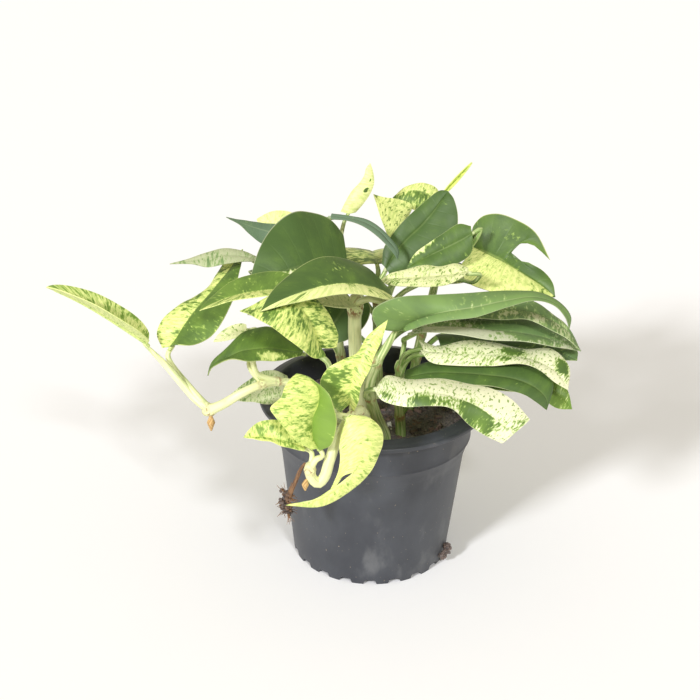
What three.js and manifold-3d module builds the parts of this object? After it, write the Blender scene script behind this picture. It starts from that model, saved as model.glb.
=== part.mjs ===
// A potted trailing plant: a thin plastic nursery pot, its soil, and leafy stems that rise and spill over
// the rim. Millimetres, +Z up. The origin is the middle of the pot's foot, on the ground.
// +X points to the right and -Y to the front, the side that the plant shows.
import * as THREE from 'three';
import { mergeVertices } from 'three/addons/utils/BufferGeometryUtils.js';
import Module from 'manifold-3d';

const wasm = await Module();
wasm.setup();

const DEG = Math.PI / 180;
const GAP = 0.3; // clearance between neighbouring pieces

// Pot
const RIM_RADIUS = 75, RIM_CREST = 116.5, RIM_EDGE = 114, LIP_BOTTOM = 111.5, CREST_RADIUS = 66.5;
const BAND_RADIUS = 66, BAND_BOTTOM_RADIUS = 64.2, BAND_BOTTOM = 89, SHOULDER = 77, SHOULDER_RADIUS = 60.6;
const FOOT_RADIUS = 52, WALL = 1, FLOOR_UNDER = 4, FLOOR_TOP = 5.2, PAD_RADIUS = 9;
const POT_SIDES = 36, NOTCHES = 20, NOTCH_WIDTH = 7.5, NOTCH_HEIGHT = 2.6;
const DRAIN_HOLES = 6, DRAIN_RADIUS = 4, DRAIN_RING = 33;

// Soil
const SOIL_TOP = 97, SOIL_CROWN = 99.5, STEM_FOOT = 84;

// Blades
const THICKNESS = 0.9;

// One row for each blade: name, point where the stalk meets it, tip, width, roll about its length, then
// the angles at which the midrib leaves the base and reaches the tip, the fold of the two halves and
// their curl, in degrees. The last entry holds what departs from the plain heart shape.
const LEAVES = [
  ["rolled_new_leaf", [-140, -40, 165], [-196, -55, 207], 22, -10, 4, 10, 50, 10,
    {"lobe": 0, "point": 0.5}],
  ["left_band_leaf", [-50, -54, 209], [-105, -56, 195], 34, -5, 16, 20, 20, 15, {"left": 0.7}],
  ["high_left_cream_leaf", [-53, 30, 213], [-79, 38, 219], 24, -40, 8, 6, 10, 10, {"lobe": 0.05}],
  ["small_cream_leaf", [-78, -45, 179], [-98, -50, 172], 11, -20, 8, 10, 15, 10, {"lobe": 0.04}],
  ["big_round_leaf", [-19, 0, 206], [-77, -35, 206], 76, -45, 20, 22, 8, 20, {"left": 0.4}],
  ["arched_dark_leaf", [9, -45, 203], [-66, -86, 209], 54, -15, 38, 34, 12, 25, {"left": 0.4}],
  ["under_arch_cream_leaf", [-15, -34, 193], [-43, -46, 198], 18, -10, 8, 10, 12, 10, {"lobe": 0.05}],
  ["inner_dark_leaf", [-16, 8, 178], [-34, -6, 151], 40, -20, 10, 10, 12, 15, {}],
  ["new_spike_leaf", [42, 58, 233], [60, 66, 252], 8, 60, 4, 4, 70, 5, {"lobe": 0, "point": 0.3}],
  ["back_left_leaf", [-34, 52, 178], [-88, 90, 158], 56, 0, 18, 26, 12, 15, {}],
  ["back_low_left_leaf", [-34, 60, 146], [-70, 112, 118], 50, 0, 16, 26, 12, 15, {}],
  ["back_middle_leaf", [0, 58, 182], [-6, 126, 156], 60, 0, 20, 28, 12, 15, {}],
  ["back_right_leaf", [34, 54, 176], [84, 104, 150], 58, 0, 18, 26, 12, 15, {}],
  ["back_low_right_leaf", [30, 62, 142], [58, 122, 112], 48, 0, 16, 26, 12, 15, {}],
  ["side_right_leaf", [52, 26, 150], [116, 48, 128], 52, 0, 16, 26, 12, 15, {}],
  ["side_left_leaf", [-48, 24, 162], [-84, 56, 142], 46, 0, 16, 26, 12, 15, {}],
];

// Blades with a bend or a cut of their own: name, width, how far each half arches up as a share of its width,
// then the left margin, the midrib and the right margin as points from base to tip, seen from above. A cut
// has its side, the number of the midrib's point that it starts from, the share of the half where it opens,
// and the two edges that part there.
const DRAWN = [
  ["long_right_leaf", 30, 0.1,
    [[12.5, -52, 183.5], [1.5, -56, 187.5], [-2, -58, 199], [9, -62, 208.5], [31.5, -51, 207],
     [55.5, -48, 207.5], [79, -48, 209.5], [96.5, -50, 210], [109, -48, 203], [116.5, -47, 193.5],
     [116, -49, 186.5]],
    [[16, -52, 185], [17, -53, 186.5], [20.5, -54, 190], [27.5, -56, 194.5], [39, -58, 199],
     [56.5, -60, 203.5], [76, -60, 208.5], [92.5, -58, 210.5], [106, -54, 205], [113.5, -51, 196],
     [116, -49, 186.5]],
    [[16.5, -53, 184], [18.5, -56, 185.5], [23, -59, 188.5], [30, -62, 193], [42, -64, 197],
     [58, -65, 199.5], [76.5, -64, 206], [92, -62, 210], [104.5, -57, 205], [112.5, -53, 195.5],
     [116, -49, 186.5]],
    []],
  ["slotted_right_leaf", 40, 0.08,
    [[45, -8, 183.5], [58.5, -8, 186], [75.5, -10, 188], [90.5, -13, 190], [102, -16, 188],
     [111.5, -21, 181.5], [118.5, -28, 177.5], [125.5, -38, 167.5]],
    [[43, -17, 184], [58, -20, 185], [76.5, -23, 187], [91.5, -25, 187], [104, -27, 184], [113, -29, 180],
     [120, -32, 175], [125.5, -38, 167.5]],
    [[43, -22, 183.5], [57.5, -31, 184], [75.5, -35, 185.5], [90.5, -37, 187], [102.5, -39, 184],
     [112, -40, 178.5], [120, -40, 173], [125.5, -38, 167.5]],
    []],
  ["grey_right_leaf", 40, 0.06,
    [[25, -14, 172.5], [35, -13, 176], [52.5, -12, 177.5], [71.5, -12, 178], [90, -14, 178],
     [106, -18, 175.5], [119, -23, 170], [127, -32, 164]],
    [[22.5, -34, 175], [33.5, -34, 178.5], [50.5, -34, 179], [70, -35, 178], [88.5, -36, 177],
     [104.5, -36, 174], [117, -35, 170], [127, -32, 164]],
    [[21.5, -37, 175.5], [33, -44, 180], [50, -47, 179.5], [69, -48, 177.5], [87.5, -48, 176.5],
     [103.5, -46, 174.5], [116.5, -40, 169.5], [127, -32, 164]],
    []],
  ["tucked_right_leaf", 36, 0.08,
    [[38, -12, 163], [56.5, -8, 162.5], [78, -6, 160.5], [98, -8, 161], [114, -12, 161], [126, -22, 159.5],
     [125.5, -30, 156.5]],
    [[40.5, -26, 162.5], [56, -24, 163], [73, -22, 161], [90.5, -22, 160.5], [106, -23, 160],
     [116.5, -26, 159.5], [125.5, -30, 156.5]],
    [[40.5, -30, 162], [55.5, -32, 161], [72.5, -32, 159.5], [90, -32, 159.5], [105, -33, 160],
     [116, -33, 158], [125.5, -30, 156.5]],
    []],
  ["cream_right_leaf", 40, 0.08,
    [[27, -30, 167.5], [37.5, -30, 164], [55.5, -29, 167.5], [76, -30, 167], [94, -32, 163.5],
     [109.5, -34, 165], [119, -42, 158], [118.5, -50, 146]],
    [[30, -38, 163.5], [40, -41, 164.5], [54.5, -44, 165.5], [73, -46, 166.5], [90.5, -47, 165.5],
     [104, -48, 161.5], [113, -49, 155], [118.5, -50, 146]],
    [[28, -40, 165.5], [33.5, -46, 161], [49, -50, 160.5], [70, -53, 162.5], [87, -54, 164.5],
     [100, -54, 160.5], [110.5, -53, 152], [118.5, -50, 146]],
    []],
  ["dark_right_leaf", 44, 0.08,
    [[20, -36, 149.5], [33, -36, 155.5], [51.5, -37, 158.5], [71, -39, 160.5], [89, -42, 159.5],
     [102.5, -46, 156], [109, -50, 150], [106, -54, 134]],
    [[18.5, -44, 148], [33, -48, 154], [51, -52, 156.5], [69, -55, 157], [84.5, -56, 155.5],
     [97, -56, 150.5], [105, -55, 142.5], [106, -54, 134]],
    [[19, -46, 147.5], [32.5, -54, 152], [49, -60, 153.5], [63.5, -63, 153.5], [77.5, -64, 152.5],
     [89.5, -62, 148.5], [98.5, -58, 141.5], [106, -54, 134]],
    []],
  ["tucked_green_leaf", 40, 0.08,
    [[42, -18, 134.5], [61, -14, 138.5], [81, -14, 142], [98.5, -18, 144.5], [112.5, -24, 144],
     [120.5, -32, 137.5], [124, -38, 126.5]],
    [[41.5, -26, 134], [60.5, -28, 137], [79, -30, 139.5], [96, -32, 140.5], [110, -34, 137.5],
     [118, -36, 133], [124, -38, 126.5]],
    [[42, -30, 134.5], [60, -36, 137], [77, -40, 139.5], [91.5, -42, 140.5], [103, -42, 136.5],
     [114, -41, 128.5], [124, -38, 126.5]],
    []],
  ["low_speckled_leaf", 44, 0.08,
    [[2.5, -70, 156.5], [7, -66, 160], [19, -65, 158], [34, -66, 158.5], [51.5, -68, 157.5], [69, -72, 157],
     [82.5, -78, 152], [92.5, -84, 143]],
    [[2, -74, 156], [9, -77, 156.5], [19, -80, 157], [33, -83, 158.5], [47.5, -85, 157], [62, -87, 152],
     [74.5, -89, 143.5], [83.5, -90, 137]],
    [[0.5, -76, 155.5], [5, -81, 151.5], [17, -86, 150.5], [32, -90, 153], [46, -92, 152.5],
     [56.5, -92, 142.5], [66, -92, 136], [76.5, -91, 130.5]],
    []],
  ["hanging_leaf", 34, 0.08,
    [[-14, -98, 150], [-2, -96, 147.5], [5, -98, 141], [6, -101, 133], [3.5, -104, 126],
     [-1.5, -107, 117.5], [-11, -111, 108], [-28.5, -116, 99], [-49.5, -118, 100]],
    [[-15.5, -99, 148.5], [-11, -101, 147], [-7, -104, 143.5], [-5, -107, 138], [-5.5, -109, 130.5],
     [-8.5, -111, 122.5], [-15.5, -114, 114], [-28.5, -117, 104.5], [-49.5, -118, 100]],
    [[-16.5, -99, 145.5], [-18, -102, 140.5], [-19, -105, 133.5], [-18.5, -107, 126.5], [-19.5, -109, 118],
     [-24.5, -113, 105.5], [-31, -115, 102.5], [-39.5, -117, 101], [-49.5, -118, 100]],
    [[1, 5, 0.25, [[-10, -111, 119.5], [-16.5, -111.5, 116.5], [-21, -113, 108.5], [-24.5, -113, 105.5]],
     [[-10, -111, 119.5], [-12.5, -112, 112.5], [-21, -113, 108.5], [-24.5, -113, 105.5]]]]],
  ["narrow_blue_leaf", 12, 0.12,
    [[-30, 27, 228], [-18.5, 25, 227.5], [-7.5, 23, 226], [1.5, 19, 222], [8.5, 15, 216], [13, 12, 210.5],
     [12.5, 7, 206]],
    [[-30.5, 24, 227.5], [-19, 22, 227], [-9.5, 20, 225.5], [0, 16, 221.5], [7, 12, 215.5], [11.5, 9, 211],
     [12.5, 7, 206]],
    [[-30, 21, 226.5], [-19.5, 18, 227], [-10.5, 15, 225], [-2, 11, 221], [5, 8, 215.5], [9.5, 7, 210.5],
     [12.5, 7, 206]],
    []],
  ["top_speckled_leaf", 26, 0.08,
    [[13.5, 52, 209], [8, 50, 204], [3.5, 49, 212.5], [0, 48, 222.5], [-4, 47, 235]],
    [[16, 54, 214], [13.5, 53, 217.5], [7, 51, 223], [1, 49, 229], [-4, 47, 235]],
    [[19.5, 58, 216], [21.5, 57, 224.5], [12.5, 54, 229.5], [3.5, 50, 232], [-4, 47, 235]],
    []],
  ["top_curled_leaf", 26, 0.1,
    [[36, 68, 213.5], [30.5, 67, 215.5], [22, 66, 218.5], [14.5, 66, 222.5], [9, 68, 225.5]],
    [[39.5, 74, 219], [34, 74, 225], [25.5, 73, 229], [17, 71, 229], [9, 68, 225.5]],
    [[41.5, 80, 223.5], [36.5, 80, 230], [28.5, 79, 232.5], [18, 75, 231], [9, 68, 225.5]],
    []],
  ["upright_dark_leaf", 46, 0.08,
    [[3, 22, 196.5], [4, 27, 205.5], [11.5, 32, 216.5], [21.5, 37, 226.5], [30.5, 40, 234.5], [39, 43, 240],
     [44, 42, 240]],
    [[5.5, 20, 194.5], [11, 24, 203.5], [18.5, 28, 212], [27.5, 32, 220], [35.5, 36, 229], [41, 40, 236],
     [44, 42, 240]],
    [[8, 18, 191.5], [21, 18, 196], [36, 22, 206], [49, 27, 217], [50.5, 32, 227], [48, 37, 236],
     [44, 42, 240]],
    []],
  ["mid_green_leaf", 32, 0.1,
    [[59.5, 10, 219.5], [58.5, 7, 211.5], [51, 4, 206], [39.5, 2, 204], [27.5, 1, 203.5], [18.5, 2, 202]],
    [[59, 12, 223], [53.5, 11, 219.5], [44.5, 9, 215], [35, 7, 210.5], [25.5, 4, 206], [18.5, 2, 202]],
    [[58, 15, 226.5], [50.5, 16, 227.5], [41.5, 14, 222], [31.5, 11, 215.5], [23, 7, 209.5], [18.5, 2, 202]],
    []],
  ["split_right_leaf", 56, 0.06,
    [[60, 27, 214], [60.5, 30, 220.5], [66, 33, 226.5], [75.5, 34, 228.5], [88, 32, 225.5], [100, 28, 219],
     [110.5, 22, 201.5], [106, 17, 196.5], [112, 10, 191], [113.5, 5, 184]],
    [[61, 24, 209], [63.5, 24, 208], [66.5, 23, 207], [70.5, 23, 205], [74.5, 22, 203.5], [78.5, 21, 202],
     [82, 20, 200.5], [92.5, 16, 195.5], [104.5, 11, 189.5], [113.5, 5, 184]],
    [[60, 20, 208.5], [57, 16, 206], [54, 12, 203], [53.5, 8, 199], [56, 4, 195], [62.5, 0, 191.5],
     [71.5, -3, 189], [85, -4, 187], [100.5, -1, 185.5], [113.5, 5, 184]],
    [[-1, 6, 0.5, [[85, 22, 206.5], [89, 24, 211], [98, 25, 211], [110.5, 22, 201.5]], [[85, 22, 206.5],
     [87, 21, 203], [91, 20, 201.5], [96.5, 20, 200.5]]]]],
  ["far_left_striped_leaf", 22, 0.1,
    [[-77, 3, 203.5], [-85.5, -3, 205.5], [-95.5, -9, 206], [-105, -13, 205.5], [-115, -15, 208],
     [-128, -17, 208.5]],
    [[-77, 6, 203.5], [-84.5, 3, 206.5], [-95.5, -2, 209], [-106, -8, 209.5], [-116, -13, 209],
     [-128, -17, 208.5]],
    [[-77, 9, 204.5], [-85.5, 9, 208], [-96, 5, 211], [-106.5, -2, 211], [-116.5, -10, 209.5],
     [-128, -17, 208.5]],
    []],
  ["high_left_blue_leaf", 24, 0.05,
    [[-69.5, 12, 211.5], [-74, 12, 212.5], [-81.5, 11, 219], [-87.5, 10, 225.5], [-95.5, 9, 230.5]],
    [[-65.5, 16, 218], [-73.5, 15, 220.5], [-81, 13, 223.5], [-88.5, 11, 227], [-95.5, 9, 230.5]],
    [[-65.5, 22, 222], [-72.5, 20, 223], [-80.5, 17, 225], [-88, 13, 227.5], [-95.5, 9, 230.5]],
    []],
  ["upright_cream_leaf", 17, 0.08,
    [[-24.5, 37, 226], [-22, 38, 231.5], [-17.5, 41, 239], [-13, 43, 243.5], [-10, 45, 248], [-9, 47, 252],
     [-6.5, 48, 255.5]],
    [[-19.5, 35, 225.5], [-16.5, 36, 232], [-12, 39, 238.5], [-8, 41.5, 243.5], [-6.5, 43.5, 247.5],
     [-7, 46, 251.5], [-6.5, 48, 255.5]],
    [[-15, 37, 226], [-11, 38, 230.5], [-6.5, 41, 236.5], [-4, 43, 242.5], [-4, 45, 247], [-5, 47, 251.5],
     [-6.5, 48, 255.5]],
    []],
  ["left_folded_leaf", 44, 0.08,
    [[-131.5, -36, 160], [-135, -33, 168], [-132, -27, 175.5], [-123.5, -20, 180.5], [-115, -12, 184],
     [-106, -3, 189], [-101.5, 5, 194], [-96.5, 12, 200.5], [-86, 16, 206.5]],
    [[-126.5, -38, 162], [-122.5, -36, 168], [-117, -31, 176.5], [-111, -24, 183], [-104.5, -16, 188.5],
     [-98.5, -7, 194], [-93, 3, 198.5], [-89.5, 11, 202.5], [-86, 16, 206.5]],
    [[-120.5, -44, 166.5], [-110.5, -46, 167.5], [-100.5, -43, 172], [-93.5, -36, 179], [-89, -27, 188],
     [-87.5, -16, 194], [-86.5, -4, 199], [-86, 8, 202.5], [-86, 16, 206.5]],
    []],
  ["left_dark_leaf", 46, 0.08,
    [[-44.5, -58, 168], [-53, -66, 169.5], [-61, -71, 170.5], [-69, -75, 172.5], [-76.5, -78, 173.5],
     [-83.5, -80, 174], [-90.5, -81, 173], [-95.5, -81, 169.5], [-98, -80, 164]],
    [[-43.5, -53, 168], [-53.5, -57, 171], [-63, -61, 174], [-72, -65, 175], [-80, -69, 175],
     [-86.5, -73, 173], [-93, -77, 171.5], [-96.5, -79, 169.5], [-98, -80, 164]],
    [[-45, -46, 167.5], [-51.5, -43, 171.5], [-59, -42, 177], [-66.5, -44, 180.5], [-75, -50, 181],
     [-81.5, -58, 179.5], [-88, -67, 176], [-95, -75, 171.5], [-98, -80, 164]],
    []],
  ["narrow_speckled_leaf", 20, 0.1,
    [[53, -25, 209], [44.5, -29, 205.5], [33, -31, 204], [21, -30, 203.5], [11, -28, 202.5],
     [5.5, -24, 202], [2.5, -20, 203]],
    [[56, -20, 210], [46.5, -20, 208], [36.5, -20, 206.5], [26.5, -20, 205.5], [16, -20, 204.5],
     [8.5, -20, 204], [2.5, -20, 203]],
    [[56, -14, 210], [48, -10, 211], [38.5, -11, 209], [29.5, -10, 209.5], [17.5, -13, 207], [8, -17, 206],
     [2.5, -20, 203]],
    []],
  ["front_marbled_leaf", 40, 0.05,
    [[-39.5, -103, 128], [-46, -104, 130], [-52.5, -104, 131.5], [-59, -104, 133.5], [-65, -103, 134.5],
     [-70.5, -102, 135], [-75.5, -101, 135]],
    [[-40.5, -100, 129], [-47, -100, 131.5], [-53.5, -100, 133.5], [-60, -100, 134.5], [-66, -100, 135],
     [-71, -100, 134.5], [-75.5, -101, 135]],
    [[-39, -95, 132.5], [-45, -93, 140], [-52.5, -92, 141.5], [-60, -93, 142.5], [-67, -95, 142],
     [-72, -98, 139], [-75.5, -101, 135]],
    []],
  ["front_green_leaf", 44, 0.08,
    [[-35.5, -104, 130], [-44, -108, 137.5], [-50.5, -110, 146.5], [-55.5, -110, 153.5], [-59, -107, 158],
     [-53, -103, 163.5], [-51.5, -99, 167], [-48.5, -94, 170], [-45, -90, 172]],
    [[-31.5, -102, 129.5], [-34.5, -101, 135], [-35.5, -100, 142], [-35, -99, 148.5], [-32.5, -97, 154.5],
     [-31.5, -95, 160.5], [-33, -93, 166.5], [-38, -91, 170.5], [-45, -90, 172]],
    [[-30.5, -103, 129], [-24.5, -106, 134], [-22, -107, 140.5], [-21.5, -107, 148], [-22, -106, 155.5],
     [-23.5, -103, 161], [-27, -99, 165.5], [-33.5, -94, 169.5], [-45, -90, 172]],
    []],
  ["marbled_left_leaf", 54, 0.08,
    [[-29, -72, 174.5], [-35, -78, 176.5], [-41.5, -84, 184], [-48.5, -88, 192], [-55, -89, 197],
     [-62, -89, 202], [-68.5, -88, 206], [-73.5, -86, 207.5], [-78, -84, 208]],
    [[-32.5, -68, 178.5], [-35, -70, 187.5], [-38, -72, 197], [-42.5, -74, 205.5], [-48.5, -76, 210],
     [-57, -78, 210], [-66, -80, 208.5], [-73, -82, 207.5], [-78, -84, 208]],
    [[-23, -64, 177.5], [-22, -62, 184], [-25.5, -60, 192], [-30, -59, 200.5], [-38.5, -60, 208.5],
     [-49, -64, 213.5], [-60, -71, 213.5], [-70.5, -78, 209.5], [-78, -84, 208]],
    []],
  ["left_grey_leaf", 34, 0.05,
    [[-54, -36, 128.5], [-60.5, -40, 126], [-69, -42, 126], [-77, -44, 128.5], [-84.5, -45, 129.5],
     [-92, -43, 129.5]],
    [[-53, -30, 134], [-60.5, -31, 133.5], [-68.5, -33, 132.5], [-76.5, -35, 131.5], [-84, -38, 130],
     [-92, -43, 129.5]],
    [[-55, -24, 137], [-62.5, -22, 139.5], [-70, -24, 140], [-77, -28, 137], [-84.5, -34, 133.5],
     [-92, -43, 129.5]],
    []],
  ["small_marbled_leaf", 36, 0.06,
    [[-19.5, -76, 140], [-27, -76, 146.5], [-32, -76, 158], [-28, -76, 168.5], [-18.5, -75, 174.5],
     [-10.5, -73, 178], [-5, -70, 187.5], [7, -67, 197.5]],
    [[-14, -80, 148], [-14, -80, 154.5], [-13.5, -79, 161.5], [-12, -78, 168], [-9, -76, 174.5],
     [-5.5, -74, 181], [0.5, -71, 188.5], [7, -67, 197.5]],
    [[-11.5, -83, 145], [-9, -83, 151], [-8, -82, 159], [-6, -81, 164], [-3, -79, 170], [-0.5, -76, 177.5],
     [3.5, -72, 186], [7, -67, 197.5]],
    []],
];

// Stems: points with their radius, and the stalks that leave them. A stalk holds its leaf's name, its
// radius where it starts, and its points before it bends in under its leaf.
const VINES = [
  {"name": "left_vine",
    "stem": [[-24, -22, 84, 3.2], [-24, -22, 100, 3.2], [-34, -34, 128, 2.8], [-49, -48, 144, 2.5],
      [-60, -54, 148, 2.5], [-70, -62, 149, 2.6], [-80, -67, 146, 2.7], [-91, -66, 138, 3.0],
      [-101, -62, 131, 3.4]],
    "stalks": [["rolled_new_leaf", 3.2, [[-99, -63, 132], [-109, -58, 137], [-125, -50, 152]]],
      ["left_folded_leaf", 2.4, [[-100, -62, 132], [-112, -55, 142]]],
      ["small_cream_leaf", 1.3, [[-68, -60, 149], [-76, -60, 162]]],
      ["left_grey_leaf", 1.8, [[-33, -33, 126], [-39, -34, 134]]],
      ["left_dark_leaf", 2.2, [[-59, -53, 148], [-71, -60, 156]], 0.5]]},
  {"name": "front_vine",
    "stem": [[-3, -34, 84, 3.0], [-3, -34, 100, 3.0], [-5, -52, 126, 2.8], [-10, -74, 140, 2.8],
      [-15, -86, 140, 2.9], [-21, -92, 130, 3.1], [-25, -97, 119, 3.3], [-28, -100, 109, 3.3],
      [-31.5, -101, 105.5, 3.3], [-35.5, -102, 110, 3.1], [-36.5, -102, 117, 2.8]],
    "stalks": [["front_marbled_leaf", 2.0, [[-36.5, -102, 115]]],
      ["front_green_leaf", 2.2, [[-36.5, -102, 115], [-33, -102, 122]]],
      ["hanging_leaf", 1.6, [[-13, -82, 140], [-9, -90, 144]]],
      ["small_marbled_leaf", 1.8, [[-8, -66, 136], [-13, -72, 142]]]]},
  {"name": "central_stem",
    "stem": [[-6, -4, 84, 4.2], [-6, -4, 100, 4.2], [-11, -20, 140, 4.2], [-13, -24, 170, 4.2],
      [-13, -22, 190, 4.0]],
    "stalks": [["big_round_leaf", 2.2, [[-13, -22, 186], [-11, -4, 194]]],
      ["under_arch_cream_leaf", 1.8, [[-13, -23, 182]]],
      ["arched_dark_leaf", 2.4, [[-13, -22, 187], [-4, -34, 196]]],
      ["left_band_leaf", 1.5, [[-13, -22, 186], [-22, -20, 193], [-38, -33, 200]]],
      ["inner_dark_leaf", 1.8, [[-13, -22, 184], [-9, -2, 190]]]]},
  {"name": "back_left_stem",
    "stem": [[-18, 16, 84, 3.4], [-18, 16, 100, 3.4], [-24, 22, 140, 3.0], [-28, 20, 180, 2.6],
      [-26, 20, 205, 2.2]],
    "stalks": [["narrow_blue_leaf", 1.6, [[-26, 20, 204], [-34, 22, 218]]],
      ["upright_cream_leaf", 1.6, [[-26, 20, 204], [-24, 32, 212]]],
      ["high_left_cream_leaf", 1.5, [[-27, 20, 198], [-38, 28, 204]]],
      ["high_left_blue_leaf", 1.5, [[-27, 20, 190], [-50, 14, 204]]],
      ["far_left_striped_leaf", 1.5, [[-27, 20, 180], [-54, 6, 192]]],
      ["side_left_leaf", 1.8, [[-24, 21, 132], [-36, 20, 152]]]]},
  {"name": "right_stem",
    "stem": [[8, -33, 84, 3.6], [8, -33, 100, 3.6], [1, -42, 123, 3.4], [-3, -48, 143, 3.2],
      [2, -48, 162, 3.0]],
    "stalks": [["long_right_leaf", 3.0, [[1, -48, 160], [8, -46, 172]]],
      ["low_speckled_leaf", 1.8, [[-2, -46, 134], [-5, -58, 142]]]]},
  {"name": "right_low_stem",
    "stem": [[18, -26, 84, 3.4], [18, -26, 100, 3.4], [16, -26, 125, 3.0], [16, -25, 148, 2.8]],
    "stalks": [["grey_right_leaf", 1.8, [[16, -25, 146], [18, -24, 162]]],
      ["cream_right_leaf", 1.8, [[16, -26, 138], [19, -28, 150]]],
      ["tucked_right_leaf", 1.6, [[16, -25, 146], [19, -33, 159], [27, -36, 164]]],
      ["dark_right_leaf", 1.8, [[16, -26, 124], [12, -38, 140]]],
      ["tucked_green_leaf", 1.8, [[17, -26, 112], [30, -28, 130]]]]},
  {"name": "back_right_stem",
    "stem": [[24, 10, 84, 3.4], [24, 10, 100, 3.4], [28, 12, 140, 3.0], [36, 14, 180, 2.6],
      [40, 16, 205, 2.2]],
    "stalks": [["mid_green_leaf", 1.6, [[38, 14, 199], [58, 15, 212]]],
      ["split_right_leaf", 1.8, [[38, 15, 196], [46, 24, 204]]],
      ["narrow_speckled_leaf", 1.4, [[38, 15, 192], [54, 2, 195], [60, -8, 198]]],
      ["slotted_right_leaf", 1.8, [[30, 12, 152], [36, 4, 170]]],
      ["side_right_leaf", 1.8, [[28, 12, 136], [40, 20, 146]]]]},
  {"name": "back_top_stem",
    "stem": [[4, 22, 84, 3.2], [4, 22, 100, 3.2], [2, 28, 140, 2.8], [10, 40, 174, 2.4],
      [23, 49, 194, 2.0]],
    "stalks": [["upright_dark_leaf", 1.8, [[5, 34, 160], [0, 26, 180]]],
      ["top_speckled_leaf", 1.6, [[22, 48, 193], [27, 54, 204]]],
      ["top_curled_leaf", 1.6, [[20, 47, 190], [42, 64, 190], [50, 77, 200]]],
      ["new_spike_leaf", 1.4, [[22, 48, 193], [44, 53, 212]]]]},
  {"name": "front_left_stem",
    "stem": [[-14, -32, 84, 3.0], [-14, -32, 100, 3.0], [-22, -46, 124, 2.6], [-28, -58, 146, 2.2]],
    "stalks": [["marbled_left_leaf", 1.8, [[-28, -57, 145], [-28, -66, 168]]]]},
  {"name": "back_stem",
    "stem": [[2, 40, 84, 3.2], [2, 40, 100, 3.2], [1, 44, 130, 2.8], [0, 44, 160, 2.4]],
    "stalks": [["back_middle_leaf", 1.8, [[0, 44, 159], [0, 48, 174]]],
      ["back_left_leaf", 1.8, [[0, 44, 150], [-16, 48, 168]]],
      ["back_right_leaf", 1.8, [[0, 44, 148], [18, 48, 166]]],
      ["back_low_left_leaf", 1.8, [[1, 44, 122], [-18, 50, 138]]],
      ["back_low_right_leaf", 1.8, [[1, 44, 120], [16, 52, 134]]]]},
];

// The soil-caked root that hangs from the front stem, dry stubs of roots at two nodes of the stems, and the
// soil that sticks to the pot
const HANGING_ROOT = [[-39.5, -100.5, 118, 0.9], [-42, -96.5, 112, 1.1], [-45, -92, 102, 1.3], [-49, -88, 89, 1.4],
  [-51, -84, 76, 1.5]];
const ROOT_CRUMBS = [[-51, -87, 87, 3.4], [-52, -86, 81, 3.9], [-51, -84, 75, 2.7]];
const ROOT_STUBS = {
  left_root_stub: [[-99, -64.5, 127.7, 1.3], [-99, -64.5, 124.2, 2.6], [-99, -64.5, 119, 0.7]],
  front_root_stub: [[-38.5, -103, 108, 1.2], [-39, -103.5, 105.5, 2.2], [-39, -104, 102.5, 0.8]],
};
const POT_CRUMBS = [[52.3, -20.5, 10.6, 2.5], [50.7, -23, 8.2, 2.3], [49.2, -25.6, 6.2, 2.2]];

const vec = (p) => new THREE.Vector3(p[0], p[1], p[2]);
const curveOf = (points) => new THREE.CatmullRomCurve3(points.map(vec), false, 'centripetal');

function solid(geometry) {
  const plain = geometry.clone();
  plain.deleteAttribute('normal');
  plain.deleteAttribute('uv');
  const merged = mergeVertices(plain, 1e-4);
  return new wasm.Manifold(new wasm.Mesh({
    numProp: 3,
    vertProperties: new Float32Array(merged.attributes.position.array),
    triVerts: new Uint32Array(merged.index.array),
  }));
}

function geometryOf(body) {
  const mesh = body.getMesh();
  const geometry = new THREE.BufferGeometry();
  geometry.setAttribute('position', new THREE.BufferAttribute(new Float32Array(mesh.vertProperties), 3));
  geometry.setIndex(new THREE.BufferAttribute(new Uint32Array(mesh.triVerts), 1));
  return geometry;
}

// A tube along points that each carry a radius: a cylinder whose rings follow the curve.
function tube(points, sides, step, extra = 0) {
  const curve = curveOf(points);
  const steps = Math.max(2, Math.round(curve.getLength() / step));
  const frames = curve.computeFrenetFrames(steps);
  const geometry = new THREE.CylinderGeometry(1, 1, steps, sides, steps);
  const position = geometry.attributes.position;
  for (let i = 0; i < position.count; i++) {
    const ring = Math.round(position.getY(i) + steps / 2);
    const t = curve.getUtoTmapping(ring / steps) * (points.length - 1);
    const k = Math.min(Math.floor(t), points.length - 2);
    const radius = THREE.MathUtils.lerp(points[k][3], points[k + 1][3], t - k) + extra;
    const at = curve.getPointAt(ring / steps);
    at.addScaledVector(frames.normals[ring], radius * position.getX(i));
    at.addScaledVector(frames.binormals[ring], -radius * position.getZ(i));
    position.setXYZ(i, at.x, at.y, at.z);
  }
  return solid(geometry);
}

// ---- blades ----

const LEAF_BY_NAME = new Map(LEAVES.map(([name, base, tip, width, roll, rise, droop, fold, curl, more]) =>
  [name, { name, base: vec(base), tip: vec(tip), width, roll, rise, droop, fold, curl,
    lobe: 0.12, point: 1.3, belly: 0.3, left: 1, right: 1, reach: 0.36, sweep: 0, ...more }]));
for (const [name, width, arch, left, rib, right, cuts] of DRAWN) {
  const steps = rib.length - 1;
  const halfOf = (side, line) => {
    const row = cuts.find(([where]) => where === side);
    if (!row) return { margins: [curveOf(line)] };
    const [, at, start, before, after] = row;
    return {
      margins: [curveOf(line.slice(0, at + 1)), curveOf([after.at(-1), ...line.slice(at + 1)])],
      cut: { at: at / steps, near: steps, start, edges: [curveOf(before), curveOf(after)] },
    };
  };
  const halves = new Map([[-1, halfOf(-1, left)], [1, halfOf(1, right)]]);
  LEAF_BY_NAME.set(name, { name, width, arch, curve: curveOf(rib), halves, cuts: cuts.length, steps });
}

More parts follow.
